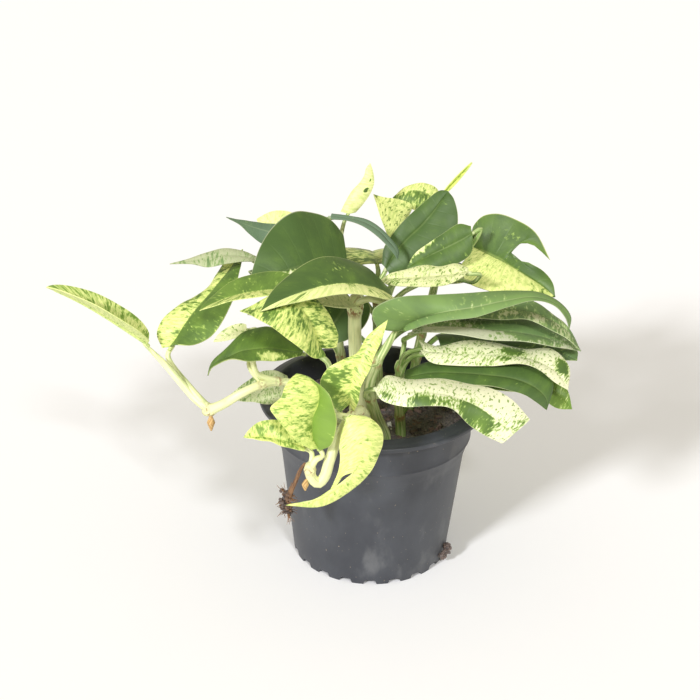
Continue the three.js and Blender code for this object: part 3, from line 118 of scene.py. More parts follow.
# Blades with a bend or a cut of their own: name, width, how far each half arches up as a share of its width,
# then the left margin, the midrib and the right margin as points from base to tip, seen from above. A cut has
# its side, the number of the midrib's point that it starts from, the share of the half where it opens, and
# the two edges that part there.
DRAWN = [
    ["long_right_leaf", 30, 0.1,
     [[12.5, -52, 183.5], [1.5, -56, 187.5], [-2, -58, 199], [9, -62, 208.5], [31.5, -51, 207],
      [55.5, -48, 207.5], [79, -48, 209.5], [96.5, -50, 210], [109, -48, 203], [116.5, -47, 193.5],
      [116, -49, 186.5]],
     [[16, -52, 185], [17, -53, 186.5], [20.5, -54, 190], [27.5, -56, 194.5], [39, -58, 199],
      [56.5, -60, 203.5], [76, -60, 208.5], [92.5, -58, 210.5], [106, -54, 205], [113.5, -51, 196],
      [116, -49, 186.5]],
     [[16.5, -53, 184], [18.5, -56, 185.5], [23, -59, 188.5], [30, -62, 193], [42, -64, 197],
      [58, -65, 199.5], [76.5, -64, 206], [92, -62, 210], [104.5, -57, 205], [112.5, -53, 195.5],
      [116, -49, 186.5]],
     []],
    ["slotted_right_leaf", 40, 0.08,
     [[45, -8, 183.5], [58.5, -8, 186], [75.5, -10, 188], [90.5, -13, 190], [102, -16, 188],
      [111.5, -21, 181.5], [118.5, -28, 177.5], [125.5, -38, 167.5]],
     [[43, -17, 184], [58, -20, 185], [76.5, -23, 187], [91.5, -25, 187], [104, -27, 184], [113, -29, 180],
      [120, -32, 175], [125.5, -38, 167.5]],
     [[43, -22, 183.5], [57.5, -31, 184], [75.5, -35, 185.5], [90.5, -37, 187], [102.5, -39, 184],
      [112, -40, 178.5], [120, -40, 173], [125.5, -38, 167.5]],
     []],
    ["grey_right_leaf", 40, 0.06,
     [[25, -14, 172.5], [35, -13, 176], [52.5, -12, 177.5], [71.5, -12, 178], [90, -14, 178],
      [106, -18, 175.5], [119, -23, 170], [127, -32, 164]],
     [[22.5, -34, 175], [33.5, -34, 178.5], [50.5, -34, 179], [70, -35, 178], [88.5, -36, 177],
      [104.5, -36, 174], [117, -35, 170], [127, -32, 164]],
     [[21.5, -37, 175.5], [33, -44, 180], [50, -47, 179.5], [69, -48, 177.5], [87.5, -48, 176.5],
      [103.5, -46, 174.5], [116.5, -40, 169.5], [127, -32, 164]],
     []],
    ["tucked_right_leaf", 36, 0.08,
     [[38, -12, 163], [56.5, -8, 162.5], [78, -6, 160.5], [98, -8, 161], [114, -12, 161], [126, -22, 159.5],
      [125.5, -30, 156.5]],
     [[40.5, -26, 162.5], [56, -24, 163], [73, -22, 161], [90.5, -22, 160.5], [106, -23, 160],
      [116.5, -26, 159.5], [125.5, -30, 156.5]],
     [[40.5, -30, 162], [55.5, -32, 161], [72.5, -32, 159.5], [90, -32, 159.5], [105, -33, 160],
      [116, -33, 158], [125.5, -30, 156.5]],
     []],
    ["cream_right_leaf", 40, 0.08,
     [[27, -30, 167.5], [37.5, -30, 164], [55.5, -29, 167.5], [76, -30, 167], [94, -32, 163.5],
      [109.5, -34, 165], [119, -42, 158], [118.5, -50, 146]],
     [[30, -38, 163.5], [40, -41, 164.5], [54.5, -44, 165.5], [73, -46, 166.5], [90.5, -47, 165.5],
      [104, -48, 161.5], [113, -49, 155], [118.5, -50, 146]],
     [[28, -40, 165.5], [33.5, -46, 161], [49, -50, 160.5], [70, -53, 162.5], [87, -54, 164.5],
      [100, -54, 160.5], [110.5, -53, 152], [118.5, -50, 146]],
     []],
    ["dark_right_leaf", 44, 0.08,
     [[20, -36, 149.5], [33, -36, 155.5], [51.5, -37, 158.5], [71, -39, 160.5], [89, -42, 159.5],
      [102.5, -46, 156], [109, -50, 150], [106, -54, 134]],
     [[18.5, -44, 148], [33, -48, 154], [51, -52, 156.5], [69, -55, 157], [84.5, -56, 155.5],
      [97, -56, 150.5], [105, -55, 142.5], [106, -54, 134]],
     [[19, -46, 147.5], [32.5, -54, 152], [49, -60, 153.5], [63.5, -63, 153.5], [77.5, -64, 152.5],
      [89.5, -62, 148.5], [98.5, -58, 141.5], [106, -54, 134]],
     []],
    ["tucked_green_leaf", 40, 0.08,
     [[42, -18, 134.5], [61, -14, 138.5], [81, -14, 142], [98.5, -18, 144.5], [112.5, -24, 144],
      [120.5, -32, 137.5], [124, -38, 126.5]],
     [[41.5, -26, 134], [60.5, -28, 137], [79, -30, 139.5], [96, -32, 140.5], [110, -34, 137.5],
      [118, -36, 133], [124, -38, 126.5]],
     [[42, -30, 134.5], [60, -36, 137], [77, -40, 139.5], [91.5, -42, 140.5], [103, -42, 136.5],
      [114, -41, 128.5], [124, -38, 126.5]],
     []],
    ["low_speckled_leaf", 44, 0.08,
     [[2.5, -70, 156.5], [7, -66, 160], [19, -65, 158], [34, -66, 158.5], [51.5, -68, 157.5], [69, -72, 157],
      [82.5, -78, 152], [92.5, -84, 143]],
     [[2, -74, 156], [9, -77, 156.5], [19, -80, 157], [33, -83, 158.5], [47.5, -85, 157], [62, -87, 152],
      [74.5, -89, 143.5], [83.5, -90, 137]],
     [[0.5, -76, 155.5], [5, -81, 151.5], [17, -86, 150.5], [32, -90, 153], [46, -92, 152.5],
      [56.5, -92, 142.5], [66, -92, 136], [76.5, -91, 130.5]],
     []],
    ["hanging_leaf", 34, 0.08,
     [[-14, -98, 150], [-2, -96, 147.5], [5, -98, 141], [6, -101, 133], [3.5, -104, 126],
      [-1.5, -107, 117.5], [-11, -111, 108], [-28.5, -116, 99], [-49.5, -118, 100]],
     [[-15.5, -99, 148.5], [-11, -101, 147], [-7, -104, 143.5], [-5, -107, 138], [-5.5, -109, 130.5],
      [-8.5, -111, 122.5], [-15.5, -114, 114], [-28.5, -117, 104.5], [-49.5, -118, 100]],
     [[-16.5, -99, 145.5], [-18, -102, 140.5], [-19, -105, 133.5], [-18.5, -107, 126.5], [-19.5, -109, 118],
      [-24.5, -113, 105.5], [-31, -115, 102.5], [-39.5, -117, 101], [-49.5, -118, 100]],
     [[1, 5, 0.25, [[-10, -111, 119.5], [-16.5, -111.5, 116.5], [-21, -113, 108.5], [-24.5, -113, 105.5]],
      [[-10, -111, 119.5], [-12.5, -112, 112.5], [-21, -113, 108.5], [-24.5, -113, 105.5]]]]],
    ["narrow_blue_leaf", 12, 0.12,
     [[-30, 27, 228], [-18.5, 25, 227.5], [-7.5, 23, 226], [1.5, 19, 222], [8.5, 15, 216], [13, 12, 210.5],
      [12.5, 7, 206]],
     [[-30.5, 24, 227.5], [-19, 22, 227], [-9.5, 20, 225.5], [0, 16, 221.5], [7, 12, 215.5], [11.5, 9, 211],
      [12.5, 7, 206]],
     [[-30, 21, 226.5], [-19.5, 18, 227], [-10.5, 15, 225], [-2, 11, 221], [5, 8, 215.5], [9.5, 7, 210.5],
      [12.5, 7, 206]],
     []],
    ["top_speckled_leaf", 26, 0.08,
     [[13.5, 52, 209], [8, 50, 204], [3.5, 49, 212.5], [0, 48, 222.5], [-4, 47, 235]],
     [[16, 54, 214], [13.5, 53, 217.5], [7, 51, 223], [1, 49, 229], [-4, 47, 235]],
     [[19.5, 58, 216], [21.5, 57, 224.5], [12.5, 54, 229.5], [3.5, 50, 232], [-4, 47, 235]],
     []],
    ["top_curled_leaf", 26, 0.1,
     [[36, 68, 213.5], [30.5, 67, 215.5], [22, 66, 218.5], [14.5, 66, 222.5], [9, 68, 225.5]],
     [[39.5, 74, 219], [34, 74, 225], [25.5, 73, 229], [17, 71, 229], [9, 68, 225.5]],
     [[41.5, 80, 223.5], [36.5, 80, 230], [28.5, 79, 232.5], [18, 75, 231], [9, 68, 225.5]],
     []],
    ["upright_dark_leaf", 46, 0.08,
     [[3, 22, 196.5], [4, 27, 205.5], [11.5, 32, 216.5], [21.5, 37, 226.5], [30.5, 40, 234.5], [39, 43, 240],
      [44, 42, 240]],
     [[5.5, 20, 194.5], [11, 24, 203.5], [18.5, 28, 212], [27.5, 32, 220], [35.5, 36, 229], [41, 40, 236],
      [44, 42, 240]],
     [[8, 18, 191.5], [21, 18, 196], [36, 22, 206], [49, 27, 217], [50.5, 32, 227], [48, 37, 236],
      [44, 42, 240]],
     []],
    ["mid_green_leaf", 32, 0.1,
     [[59.5, 10, 219.5], [58.5, 7, 211.5], [51, 4, 206], [39.5, 2, 204], [27.5, 1, 203.5], [18.5, 2, 202]],
     [[59, 12, 223], [53.5, 11, 219.5], [44.5, 9, 215], [35, 7, 210.5], [25.5, 4, 206], [18.5, 2, 202]],
     [[58, 15, 226.5], [50.5, 16, 227.5], [41.5, 14, 222], [31.5, 11, 215.5], [23, 7, 209.5], [18.5, 2, 202]],
     []],
    ["split_right_leaf", 56, 0.06,
     [[60, 27, 214], [60.5, 30, 220.5], [66, 33, 226.5], [75.5, 34, 228.5], [88, 32, 225.5], [100, 28, 219],
      [110.5, 22, 201.5], [106, 17, 196.5], [112, 10, 191], [113.5, 5, 184]],
     [[61, 24, 209], [63.5, 24, 208], [66.5, 23, 207], [70.5, 23, 205], [74.5, 22, 203.5], [78.5, 21, 202],
      [82, 20, 200.5], [92.5, 16, 195.5], [104.5, 11, 189.5], [113.5, 5, 184]],
     [[60, 20, 208.5], [57, 16, 206], [54, 12, 203], [53.5, 8, 199], [56, 4, 195], [62.5, 0, 191.5],
      [71.5, -3, 189], [85, -4, 187], [100.5, -1, 185.5], [113.5, 5, 184]],
     [[-1, 6, 0.5, [[85, 22, 206.5], [89, 24, 211], [98, 25, 211], [110.5, 22, 201.5]], [[85, 22, 206.5],
      [87, 21, 203], [91, 20, 201.5], [96.5, 20, 200.5]]]]],
    ["far_left_striped_leaf", 22, 0.1,
     [[-77, 3, 203.5], [-85.5, -3, 205.5], [-95.5, -9, 206], [-105, -13, 205.5], [-115, -15, 208],
      [-128, -17, 208.5]],
     [[-77, 6, 203.5], [-84.5, 3, 206.5], [-95.5, -2, 209], [-106, -8, 209.5], [-116, -13, 209],
      [-128, -17, 208.5]],
     [[-77, 9, 204.5], [-85.5, 9, 208], [-96, 5, 211], [-106.5, -2, 211], [-116.5, -10, 209.5],
      [-128, -17, 208.5]],
     []],
    ["high_left_blue_leaf", 24, 0.05,
     [[-69.5, 12, 211.5], [-74, 12, 212.5], [-81.5, 11, 219], [-87.5, 10, 225.5], [-95.5, 9, 230.5]],
     [[-65.5, 16, 218], [-73.5, 15, 220.5], [-81, 13, 223.5], [-88.5, 11, 227], [-95.5, 9, 230.5]],
     [[-65.5, 22, 222], [-72.5, 20, 223], [-80.5, 17, 225], [-88, 13, 227.5], [-95.5, 9, 230.5]],
     []],
    ["upright_cream_leaf", 17, 0.08,
     [[-24.5, 37, 226], [-22, 38, 231.5], [-17.5, 41, 239], [-13, 43, 243.5], [-10, 45, 248], [-9, 47, 252],
      [-6.5, 48, 255.5]],
     [[-19.5, 35, 225.5], [-16.5, 36, 232], [-12, 39, 238.5], [-8, 41.5, 243.5], [-6.5, 43.5, 247.5],
      [-7, 46, 251.5], [-6.5, 48, 255.5]],
     [[-15, 37, 226], [-11, 38, 230.5], [-6.5, 41, 236.5], [-4, 43, 242.5], [-4, 45, 247], [-5, 47, 251.5],
      [-6.5, 48, 255.5]],
     []],
    ["left_folded_leaf", 44, 0.08,
     [[-131.5, -36, 160], [-135, -33, 168], [-132, -27, 175.5], [-123.5, -20, 180.5], [-115, -12, 184],
      [-106, -3, 189], [-101.5, 5, 194], [-96.5, 12, 200.5], [-86, 16, 206.5]],
     [[-126.5, -38, 162], [-122.5, -36, 168], [-117, -31, 176.5], [-111, -24, 183], [-104.5, -16, 188.5],
      [-98.5, -7, 194], [-93, 3, 198.5], [-89.5, 11, 202.5], [-86, 16, 206.5]],
     [[-120.5, -44, 166.5], [-110.5, -46, 167.5], [-100.5, -43, 172], [-93.5, -36, 179], [-89, -27, 188],
      [-87.5, -16, 194], [-86.5, -4, 199], [-86, 8, 202.5], [-86, 16, 206.5]],
     []],
    ["left_dark_leaf", 46, 0.08,
     [[-44.5, -58, 168], [-53, -66, 169.5], [-61, -71, 170.5], [-69, -75, 172.5], [-76.5, -78, 173.5],
      [-83.5, -80, 174], [-90.5, -81, 173], [-95.5, -81, 169.5], [-98, -80, 164]],
     [[-43.5, -53, 168], [-53.5, -57, 171], [-63, -61, 174], [-72, -65, 175], [-80, -69, 175],
      [-86.5, -73, 173], [-93, -77, 171.5], [-96.5, -79, 169.5], [-98, -80, 164]],
     [[-45, -46, 167.5], [-51.5, -43, 171.5], [-59, -42, 177], [-66.5, -44, 180.5], [-75, -50, 181],
      [-81.5, -58, 179.5], [-88, -67, 176], [-95, -75, 171.5], [-98, -80, 164]],
     []],
    ["narrow_speckled_leaf", 20, 0.1,
     [[53, -25, 209], [44.5, -29, 205.5], [33, -31, 204], [21, -30, 203.5], [11, -28, 202.5],
      [5.5, -24, 202], [2.5, -20, 203]],
     [[56, -20, 210], [46.5, -20, 208], [36.5, -20, 206.5], [26.5, -20, 205.5], [16, -20, 204.5],
      [8.5, -20, 204], [2.5, -20, 203]],
     [[56, -14, 210], [48, -10, 211], [38.5, -11, 209], [29.5, -10, 209.5], [17.5, -13, 207], [8, -17, 206],
      [2.5, -20, 203]],
     []],
    ["front_marbled_leaf", 40, 0.05,
     [[-39.5, -103, 128], [-46, -104, 130], [-52.5, -104, 131.5], [-59, -104, 133.5], [-65, -103, 134.5],
      [-70.5, -102, 135], [-75.5, -101, 135]],
     [[-40.5, -100, 129], [-47, -100, 131.5], [-53.5, -100, 133.5], [-60, -100, 134.5], [-66, -100, 135],
      [-71, -100, 134.5], [-75.5, -101, 135]],
     [[-39, -95, 132.5], [-45, -93, 140], [-52.5, -92, 141.5], [-60, -93, 142.5], [-67, -95, 142],
      [-72, -98, 139], [-75.5, -101, 135]],
     []],
    ["front_green_leaf", 44, 0.08,
     [[-35.5, -104, 130], [-44, -108, 137.5], [-50.5, -110, 146.5], [-55.5, -110, 153.5], [-59, -107, 158],
      [-53, -103, 163.5], [-51.5, -99, 167], [-48.5, -94, 170], [-45, -90, 172]],
     [[-31.5, -102, 129.5], [-34.5, -101, 135], [-35.5, -100, 142], [-35, -99, 148.5], [-32.5, -97, 154.5],
      [-31.5, -95, 160.5], [-33, -93, 166.5], [-38, -91, 170.5], [-45, -90, 172]],
     [[-30.5, -103, 129], [-24.5, -106, 134], [-22, -107, 140.5], [-21.5, -107, 148], [-22, -106, 155.5],
      [-23.5, -103, 161], [-27, -99, 165.5], [-33.5, -94, 169.5], [-45, -90, 172]],
     []],
    ["marbled_left_leaf", 54, 0.08,
     [[-29, -72, 174.5], [-35, -78, 176.5], [-41.5, -84, 184], [-48.5, -88, 192], [-55, -89, 197],
      [-62, -89, 202], [-68.5, -88, 206], [-73.5, -86, 207.5], [-78, -84, 208]],
     [[-32.5, -68, 178.5], [-35, -70, 187.5], [-38, -72, 197], [-42.5, -74, 205.5], [-48.5, -76, 210],
      [-57, -78, 210], [-66, -80, 208.5], [-73, -82, 207.5], [-78, -84, 208]],
     [[-23, -64, 177.5], [-22, -62, 184], [-25.5, -60, 192], [-30, -59, 200.5], [-38.5, -60, 208.5],
      [-49, -64, 213.5], [-60, -71, 213.5], [-70.5, -78, 209.5], [-78, -84, 208]],
     []],
    ["left_grey_leaf", 34, 0.05,
     [[-54, -36, 128.5], [-60.5, -40, 126], [-69, -42, 126], [-77, -44, 128.5], [-84.5, -45, 129.5],
      [-92, -43, 129.5]],
     [[-53, -30, 134], [-60.5, -31, 133.5], [-68.5, -33, 132.5], [-76.5, -35, 131.5], [-84, -38, 130],
      [-92, -43, 129.5]],
     [[-55, -24, 137], [-62.5, -22, 139.5], [-70, -24, 140], [-77, -28, 137], [-84.5, -34, 133.5],
      [-92, -43, 129.5]],
     []],
    ["small_marbled_leaf", 36, 0.06,
     [[-19.5, -76, 140], [-27, -76, 146.5], [-32, -76, 158], [-28, -76, 168.5], [-18.5, -75, 174.5],
      [-10.5, -73, 178], [-5, -70, 187.5], [7, -67, 197.5]],
     [[-14, -80, 148], [-14, -80, 154.5], [-13.5, -79, 161.5], [-12, -78, 168], [-9, -76, 174.5],
      [-5.5, -74, 181], [0.5, -71, 188.5], [7, -67, 197.5]],
     [[-11.5, -83, 145], [-9, -83, 151], [-8, -82, 159], [-6, -81, 164], [-3, -79, 170], [-0.5, -76, 177.5],
      [3.5, -72, 186], [7, -67, 197.5]],
     []],
]

# How each blade is coloured, by slot: share of pale tissue on the left and on the right half (seen from base
# to tip), how yellow the pale tissue is, and how deep the green is. What departs from the plain paint comes
# last. A patch has its side, its place along the margin, its share of the half's width, its size in mm, and
# how far it is pushed towards pale (+) or green (-). Specks and blue-grey bloom are shares.
PAINT = {
    "leaf_marbled": {
        "rolled_new_leaf": [0.85, 0.5, 0.8, 0.3, {"specks": 0.5}],
        "left_folded_leaf": [0.66, 0.05, 0.9, 0.6, {"patches": [[-1, 0.2, 0.5, 9, 1]]}],
        "left_band_leaf": [0.7, 0.06, 0.9, 0.5],
        "high_left_cream_leaf": [0.93, 0.93, 0.7, 0.5],
        "marbled_left_leaf": [0.5, 0.6, 0.95, 0.5],
        "under_arch_cream_leaf": [0.93, 0.93, 0.5, 0.5],
        "top_curled_leaf": [0.25, 0.85, 0.85, 0.6],
        "new_spike_leaf": [0.96, 0.96, 1, 0.2],
        "split_right_leaf": [0.02, 0.84, 0.85, 0.75],
        "small_marbled_leaf": [0.58, 0.66, 1, 0.4, {"patches": [[-1, 0.3, 0.6, 9, -1]]}],
        "front_marbled_leaf": [0.72, 0.74, 1, 0.15, {"patches": [[-1, 0.6, 0.5, 7, -1.6],
            [1, 0.6, 0.5, 6, -1.4]]}],
        "front_green_leaf": [0.74, 0.04, 1, 0.12],
        "hanging_leaf": [0.86, 0.9, 0.9, 0.05, {"specks": 0.3}],
        "back_middle_leaf": [0.35, 0.6, 0.8, 0.6],
        "side_left_leaf": [0.5, 0.4, 0.8, 0.6],
    },
    "leaf_pale": {
        "far_left_striped_leaf": [0.75, 0.8, 0.35, 0.35, {"bloom": 0.45}],
        "high_left_blue_leaf": [0.05, 0.05, 0.1, 0.8, {"bloom": 0.6}],
        "narrow_blue_leaf": [0.03, 0.03, 0.1, 1, {"bloom": 0.7}],
        "long_right_leaf": [0.05, 0.05, 0.2, 0.3, {"bloom": 0.3}],
    },
    "leaf_speckled": {
        "small_cream_leaf": [0.93, 0.93, 0.4, 0.5],
        "left_grey_leaf": [0.75, 0.7, 0.3, 0.6, {"bloom": 0.3}],
        "upright_cream_leaf": [0.96, 0.96, 0.7, 0.9, {"patches": [[1, 0.4, 0.3, 2, -5],
            [1, 0.6, 0.2, 1.8, -5]], "specks": 0}],
        "top_speckled_leaf": [0.88, 0.85, 0.85, 0.75],
        "narrow_speckled_leaf": [0.82, 0.86, 0.45, 0.8],
        "grey_right_leaf": [0.4, 0.6, 0.1, 0.4, {"patches": [[1, 0.3, 0.5, 14, 3], [1, 0.62, 0.3, 11, -3],
            [-1, 0.6, 0.5, 14, -2.5]], "specks": 0.2, "bloom": 0.35}],
        "cream_right_leaf": [0.84, 0.84, 0.15, 0.75, {"patches": [[-1, 0.5, 0.3, 6, -3],
            [-1, 0.85, 0.5, 8, -3.5], [1, 0.5, 0.4, 5, -2]]}],
        "low_speckled_leaf": [0.8, 0.78, 0.12, 0.7, {"patches": [[1, 0.12, 0.5, 5, -1.5],
            [1, 0.42, 0.7, 9, -2.2], [-1, 0.75, 0.8, 9, 3], [1, 0.72, 0.4, 13, -2.8]]}],
        "back_low_left_leaf": [0.6, 0.7, 0.3, 0.7],
        "back_low_right_leaf": [0.7, 0.6, 0.4, 0.7],
    },
    "leaf_dark": {
        "left_dark_leaf": [0.04, 0.02, 0.8, 0.6, {"patches": [[-1, 0.25, 0.7, 8, 4]]}],
        # The big round leaf's pale patch near its left margin is painted light: brighter yellow-green where
        # light shines through the thin blade.
        "big_round_leaf": [0.06, 0.01, 0.1, 0.9, {"patches": [[-1, 0.72, 0.9, 12, 3.2]]}],
        "arched_dark_leaf": [0.82, 0.02, 0.7, 0.85],
        "inner_dark_leaf": [0.03, 0.02, 0.5, 0.95],
        "upright_dark_leaf": [0.01, 0.01, 0.4, 0.95],
        "mid_green_leaf": [0.02, 0.03, 0.5, 0.75, {"patches": [[1, 0.78, 0.9, 6, 3.4],
            [1, 0.6, 1.05, 4.5, 2.4]]}],
        "slotted_right_leaf": [0.1, 0.22, 0.3, 0.5, {"patches": [[1, 0.5, 0.6, 8, 1.6]], "specks": 0,
            "bloom": 0.3}],
        "tucked_right_leaf": [0.08, 0.08, 0.4, 0.7, {"bloom": 0.2}],
        "dark_right_leaf": [0.02, 0.02, 0.4, 0.85],
        "tucked_green_leaf": [0.1, 0.1, 0.4, 0.35],
        "back_left_leaf": [0.15, 0.06, 0.6, 0.8],
        "back_right_leaf": [0.05, 0.2, 0.6, 0.8],
        "side_right_leaf": [0.08, 0.03, 0.5, 0.7],
    },
}
PLAIN_PAINT = {"patches": [], "specks": 1, "bloom": 0}

# Finish of each slot: size of the streaks and of the blotches in mm, share of specks, how light the veins
# are, how dull the lower face is, and roughness.
LEAF_FINISH = {
    "leaf_dark": (1.6, 9.0, 0.0, 0.03, 0.5, 0.46),
    "leaf_marbled": (1.5, 8.0, 0.35, 0.08, 0.25, 0.42),
    "leaf_speckled": (1.2, 10.0, 0.9, 0.06, 0.25, 0.42),
    "leaf_pale": (1.8, 12.0, 0.0, 0.12, 0.6, 0.55),
}

# ---- stems ----
# Points with their radius, and the stalks that leave them. A stalk holds its leaf's name, its radius
# where it starts, and its points before it bends in under its leaf.
VINES = [
    {"name": "left_vine",
     "stem": [[-24, -22, 84, 3.2], [-24, -22, 100, 3.2], [-34, -34, 128, 2.8], [-49, -48, 144, 2.5],
              [-60, -54, 148, 2.5], [-70, -62, 149, 2.6], [-80, -67, 146, 2.7], [-91, -66, 138, 3.0],
              [-101, -62, 131, 3.4]],
     "stalks": [["rolled_new_leaf", 3.2, [[-99, -63, 132], [-109, -58, 137], [-125, -50, 152]]],
                ["left_folded_leaf", 2.4, [[-100, -62, 132], [-112, -55, 142]]],
                ["small_cream_leaf", 1.3, [[-68, -60, 149], [-76, -60, 162]]],
                ["left_grey_leaf", 1.8, [[-33, -33, 126], [-39, -34, 134]]],
                ["left_dark_leaf", 2.2, [[-59, -53, 148], [-71, -60, 156]], 0.5]]},
    {"name": "front_vine",
     "stem": [[-3, -34, 84, 3.0], [-3, -34, 100, 3.0], [-5, -52, 126, 2.8], [-10, -74, 140, 2.8],
              [-15, -86, 140, 2.9], [-21, -92, 130, 3.1], [-25, -97, 119, 3.3], [-28, -100, 109, 3.3],
              [-31.5, -101, 105.5, 3.3], [-35.5, -102, 110, 3.1], [-36.5, -102, 117, 2.8]],
     "stalks": [["front_marbled_leaf", 2.0, [[-36.5, -102, 115]]],
                ["front_green_leaf", 2.2, [[-36.5, -102, 115], [-33, -102, 122]]],
                ["hanging_leaf", 1.6, [[-13, -82, 140], [-9, -90, 144]]],
                ["small_marbled_leaf", 1.8, [[-8, -66, 136], [-13, -72, 142]]]]},
    {"name": "central_stem",
     "stem": [[-6, -4, 84, 4.2], [-6, -4, 100, 4.2], [-11, -20, 140, 4.2], [-13, -24, 170, 4.2],
              [-13, -22, 190, 4.0]],
     "stalks": [["big_round_leaf", 2.2, [[-13, -22, 186], [-11, -4, 194]]],
                ["under_arch_cream_leaf", 1.8, [[-13, -23, 182]]],
                ["arched_dark_leaf", 2.4, [[-13, -22, 187], [-4, -34, 196]]],
                ["left_band_leaf", 1.5, [[-13, -22, 186], [-22, -20, 193], [-38, -33, 200]]],
                ["inner_dark_leaf", 1.8, [[-13, -22, 184], [-9, -2, 190]]]]},
    {"name": "back_left_stem",
     "stem": [[-18, 16, 84, 3.4], [-18, 16, 100, 3.4], [-24, 22, 140, 3.0], [-28, 20, 180, 2.6],
              [-26, 20, 205, 2.2]],
     "stalks": [["narrow_blue_leaf", 1.6, [[-26, 20, 204], [-34, 22, 218]]],
                ["upright_cream_leaf", 1.6, [[-26, 20, 204], [-24, 32, 212]]],
                ["high_left_cream_leaf", 1.5, [[-27, 20, 198], [-38, 28, 204]]],
                ["high_left_blue_leaf", 1.5, [[-27, 20, 190], [-50, 14, 204]]],
                ["far_left_striped_leaf", 1.5, [[-27, 20, 180], [-54, 6, 192]]],
                ["side_left_leaf", 1.8, [[-24, 21, 132], [-36, 20, 152]]]]},
    {"name": "right_stem",
     "stem": [[8, -33, 84, 3.6], [8, -33, 100, 3.6], [1, -42, 123, 3.4], [-3, -48, 143, 3.2],
              [2, -48, 162, 3.0]],
     "stalks": [["long_right_leaf", 3.0, [[1, -48, 160], [8, -46, 172]]],
                ["low_speckled_leaf", 1.8, [[-2, -46, 134], [-5, -58, 142]]]]},
    {"name": "right_low_stem",
     "stem": [[18, -26, 84, 3.4], [18, -26, 100, 3.4], [16, -26, 125, 3.0], [16, -25, 148, 2.8]],
     "stalks": [["grey_right_leaf", 1.8, [[16, -25, 146], [18, -24, 162]]],
                ["cream_right_leaf", 1.8, [[16, -26, 138], [19, -28, 150]]],
                ["tucked_right_leaf", 1.6, [[16, -25, 146], [19, -33, 159], [27, -36, 164]]],
                ["dark_right_leaf", 1.8, [[16, -26, 124], [12, -38, 140]]],
                ["tucked_green_leaf", 1.8, [[17, -26, 112], [30, -28, 130]]]]},
    {"name": "back_right_stem",
     "stem": [[24, 10, 84, 3.4], [24, 10, 100, 3.4], [28, 12, 140, 3.0], [36, 14, 180, 2.6],
              [40, 16, 205, 2.2]],
     "stalks": [["mid_green_leaf", 1.6, [[38, 14, 199], [58, 15, 212]]],
                ["split_right_leaf", 1.8, [[38, 15, 196], [46, 24, 204]]],
                ["narrow_speckled_leaf", 1.4, [[38, 15, 192], [54, 2, 195], [60, -8, 198]]],
                ["slotted_right_leaf", 1.8, [[30, 12, 152], [36, 4, 170]]],
                ["side_right_leaf", 1.8, [[28, 12, 136], [40, 20, 146]]]]},
    {"name": "back_top_stem",
     "stem": [[4, 22, 84, 3.2], [4, 22, 100, 3.2], [2, 28, 140, 2.8], [10, 40, 174, 2.4],
              [23, 49, 194, 2.0]],
     "stalks": [["upright_dark_leaf", 1.8, [[5, 34, 160], [0, 26, 180]]],
                ["top_speckled_leaf", 1.6, [[22, 48, 193], [27, 54, 204]]],
                ["top_curled_leaf", 1.6, [[20, 47, 190], [42, 64, 190], [50, 77, 200]]],
                ["new_spike_leaf", 1.4, [[22, 48, 193], [44, 53, 212]]]]},
    {"name": "front_left_stem",
     "stem": [[-14, -32, 84, 3.0], [-14, -32, 100, 3.0], [-22, -46, 124, 2.6], [-28, -58, 146, 2.2]],
     "stalks": [["marbled_left_leaf", 1.8, [[-28, -57, 145], [-28, -66, 168]]]]},
    {"name": "back_stem",
     "stem": [[2, 40, 84, 3.2], [2, 40, 100, 3.2], [1, 44, 130, 2.8], [0, 44, 160, 2.4]],
     "stalks": [["back_middle_leaf", 1.8, [[0, 44, 159], [0, 48, 174]]],
                ["back_left_leaf", 1.8, [[0, 44, 150], [-16, 48, 168]]],
                ["back_right_leaf", 1.8, [[0, 44, 148], [18, 48, 166]]],
                ["back_low_left_leaf", 1.8, [[1, 44, 122], [-18, 50, 138]]],
                ["back_low_right_leaf", 1.8, [[1, 44, 120], [16, 52, 134]]]]},
]

# How cream each stem is.
STEM_PALE = {"left_vine": 0.85, "front_vine": 0.95, "central_stem": 0.8, "back_left_stem": 0.5,
             "right_stem": 0.45, "right_low_stem": 0.3, "back_right_stem": 0.3, "back_top_stem": 0.4,
             "front_left_stem": 0.55, "back_stem": 0.3}

TUBE_CAP = [(0.02, 0.95), (0.7, 0.72)]  # share of the radius, and how far out, of a rounded end's two rings
CHANNEL_WIDTH = 0.55  # in radians
ROOT_FIBRES = 46

# ---- roots and stuck soil: points with their radius, and lumps with theirs ----
HANGING_ROOT = [[-39.5, -100.5, 118, 0.9], [-42, -96.5, 112, 1.1], [-45, -92, 102, 1.3],
                [-49, -88, 89, 1.4], [-51, -84, 76, 1.5]]
ROOT_CRUMBS = [[-51, -87, 87, 3.4], [-52, -86, 81, 3.9], [-51, -84, 75, 2.7]]
POT_CRUMBS = [[52.3, -20.5, 10.6, 2.5], [50.7, -23, 8.2, 2.3], [49.2, -25.6, 6.2, 2.2]]

ROOT_STUBS = {
    "left_root_stub": [[-99, -64.5, 127.7, 1.3], [-99, -64.5, 124.2, 2.6], [-99, -64.5, 119, 0.7]],
    "front_root_stub": [[-38.5, -103, 108, 1.2], [-39, -103.5, 105.5, 2.2], [-39, -104, 102.5, 0.8]],
}


# ---- numbers and small shapes ----

def unit(vectors):
    """Vectors divided by their length."""
    return vectors / np.maximum(np.linalg.norm(vectors, axis=-1, keepdims=True), 1e-12)


def distance_along(path):
    """Distance of each point of a path from its start, measured along it."""
    return np.concatenate([[0], np.cumsum(np.linalg.norm(np.diff(path, axis=0), axis=1))])


def full_turn(count):
    """The angles of count equal steps round a full turn."""
    return np.arange(count) * 2 * math.pi / count


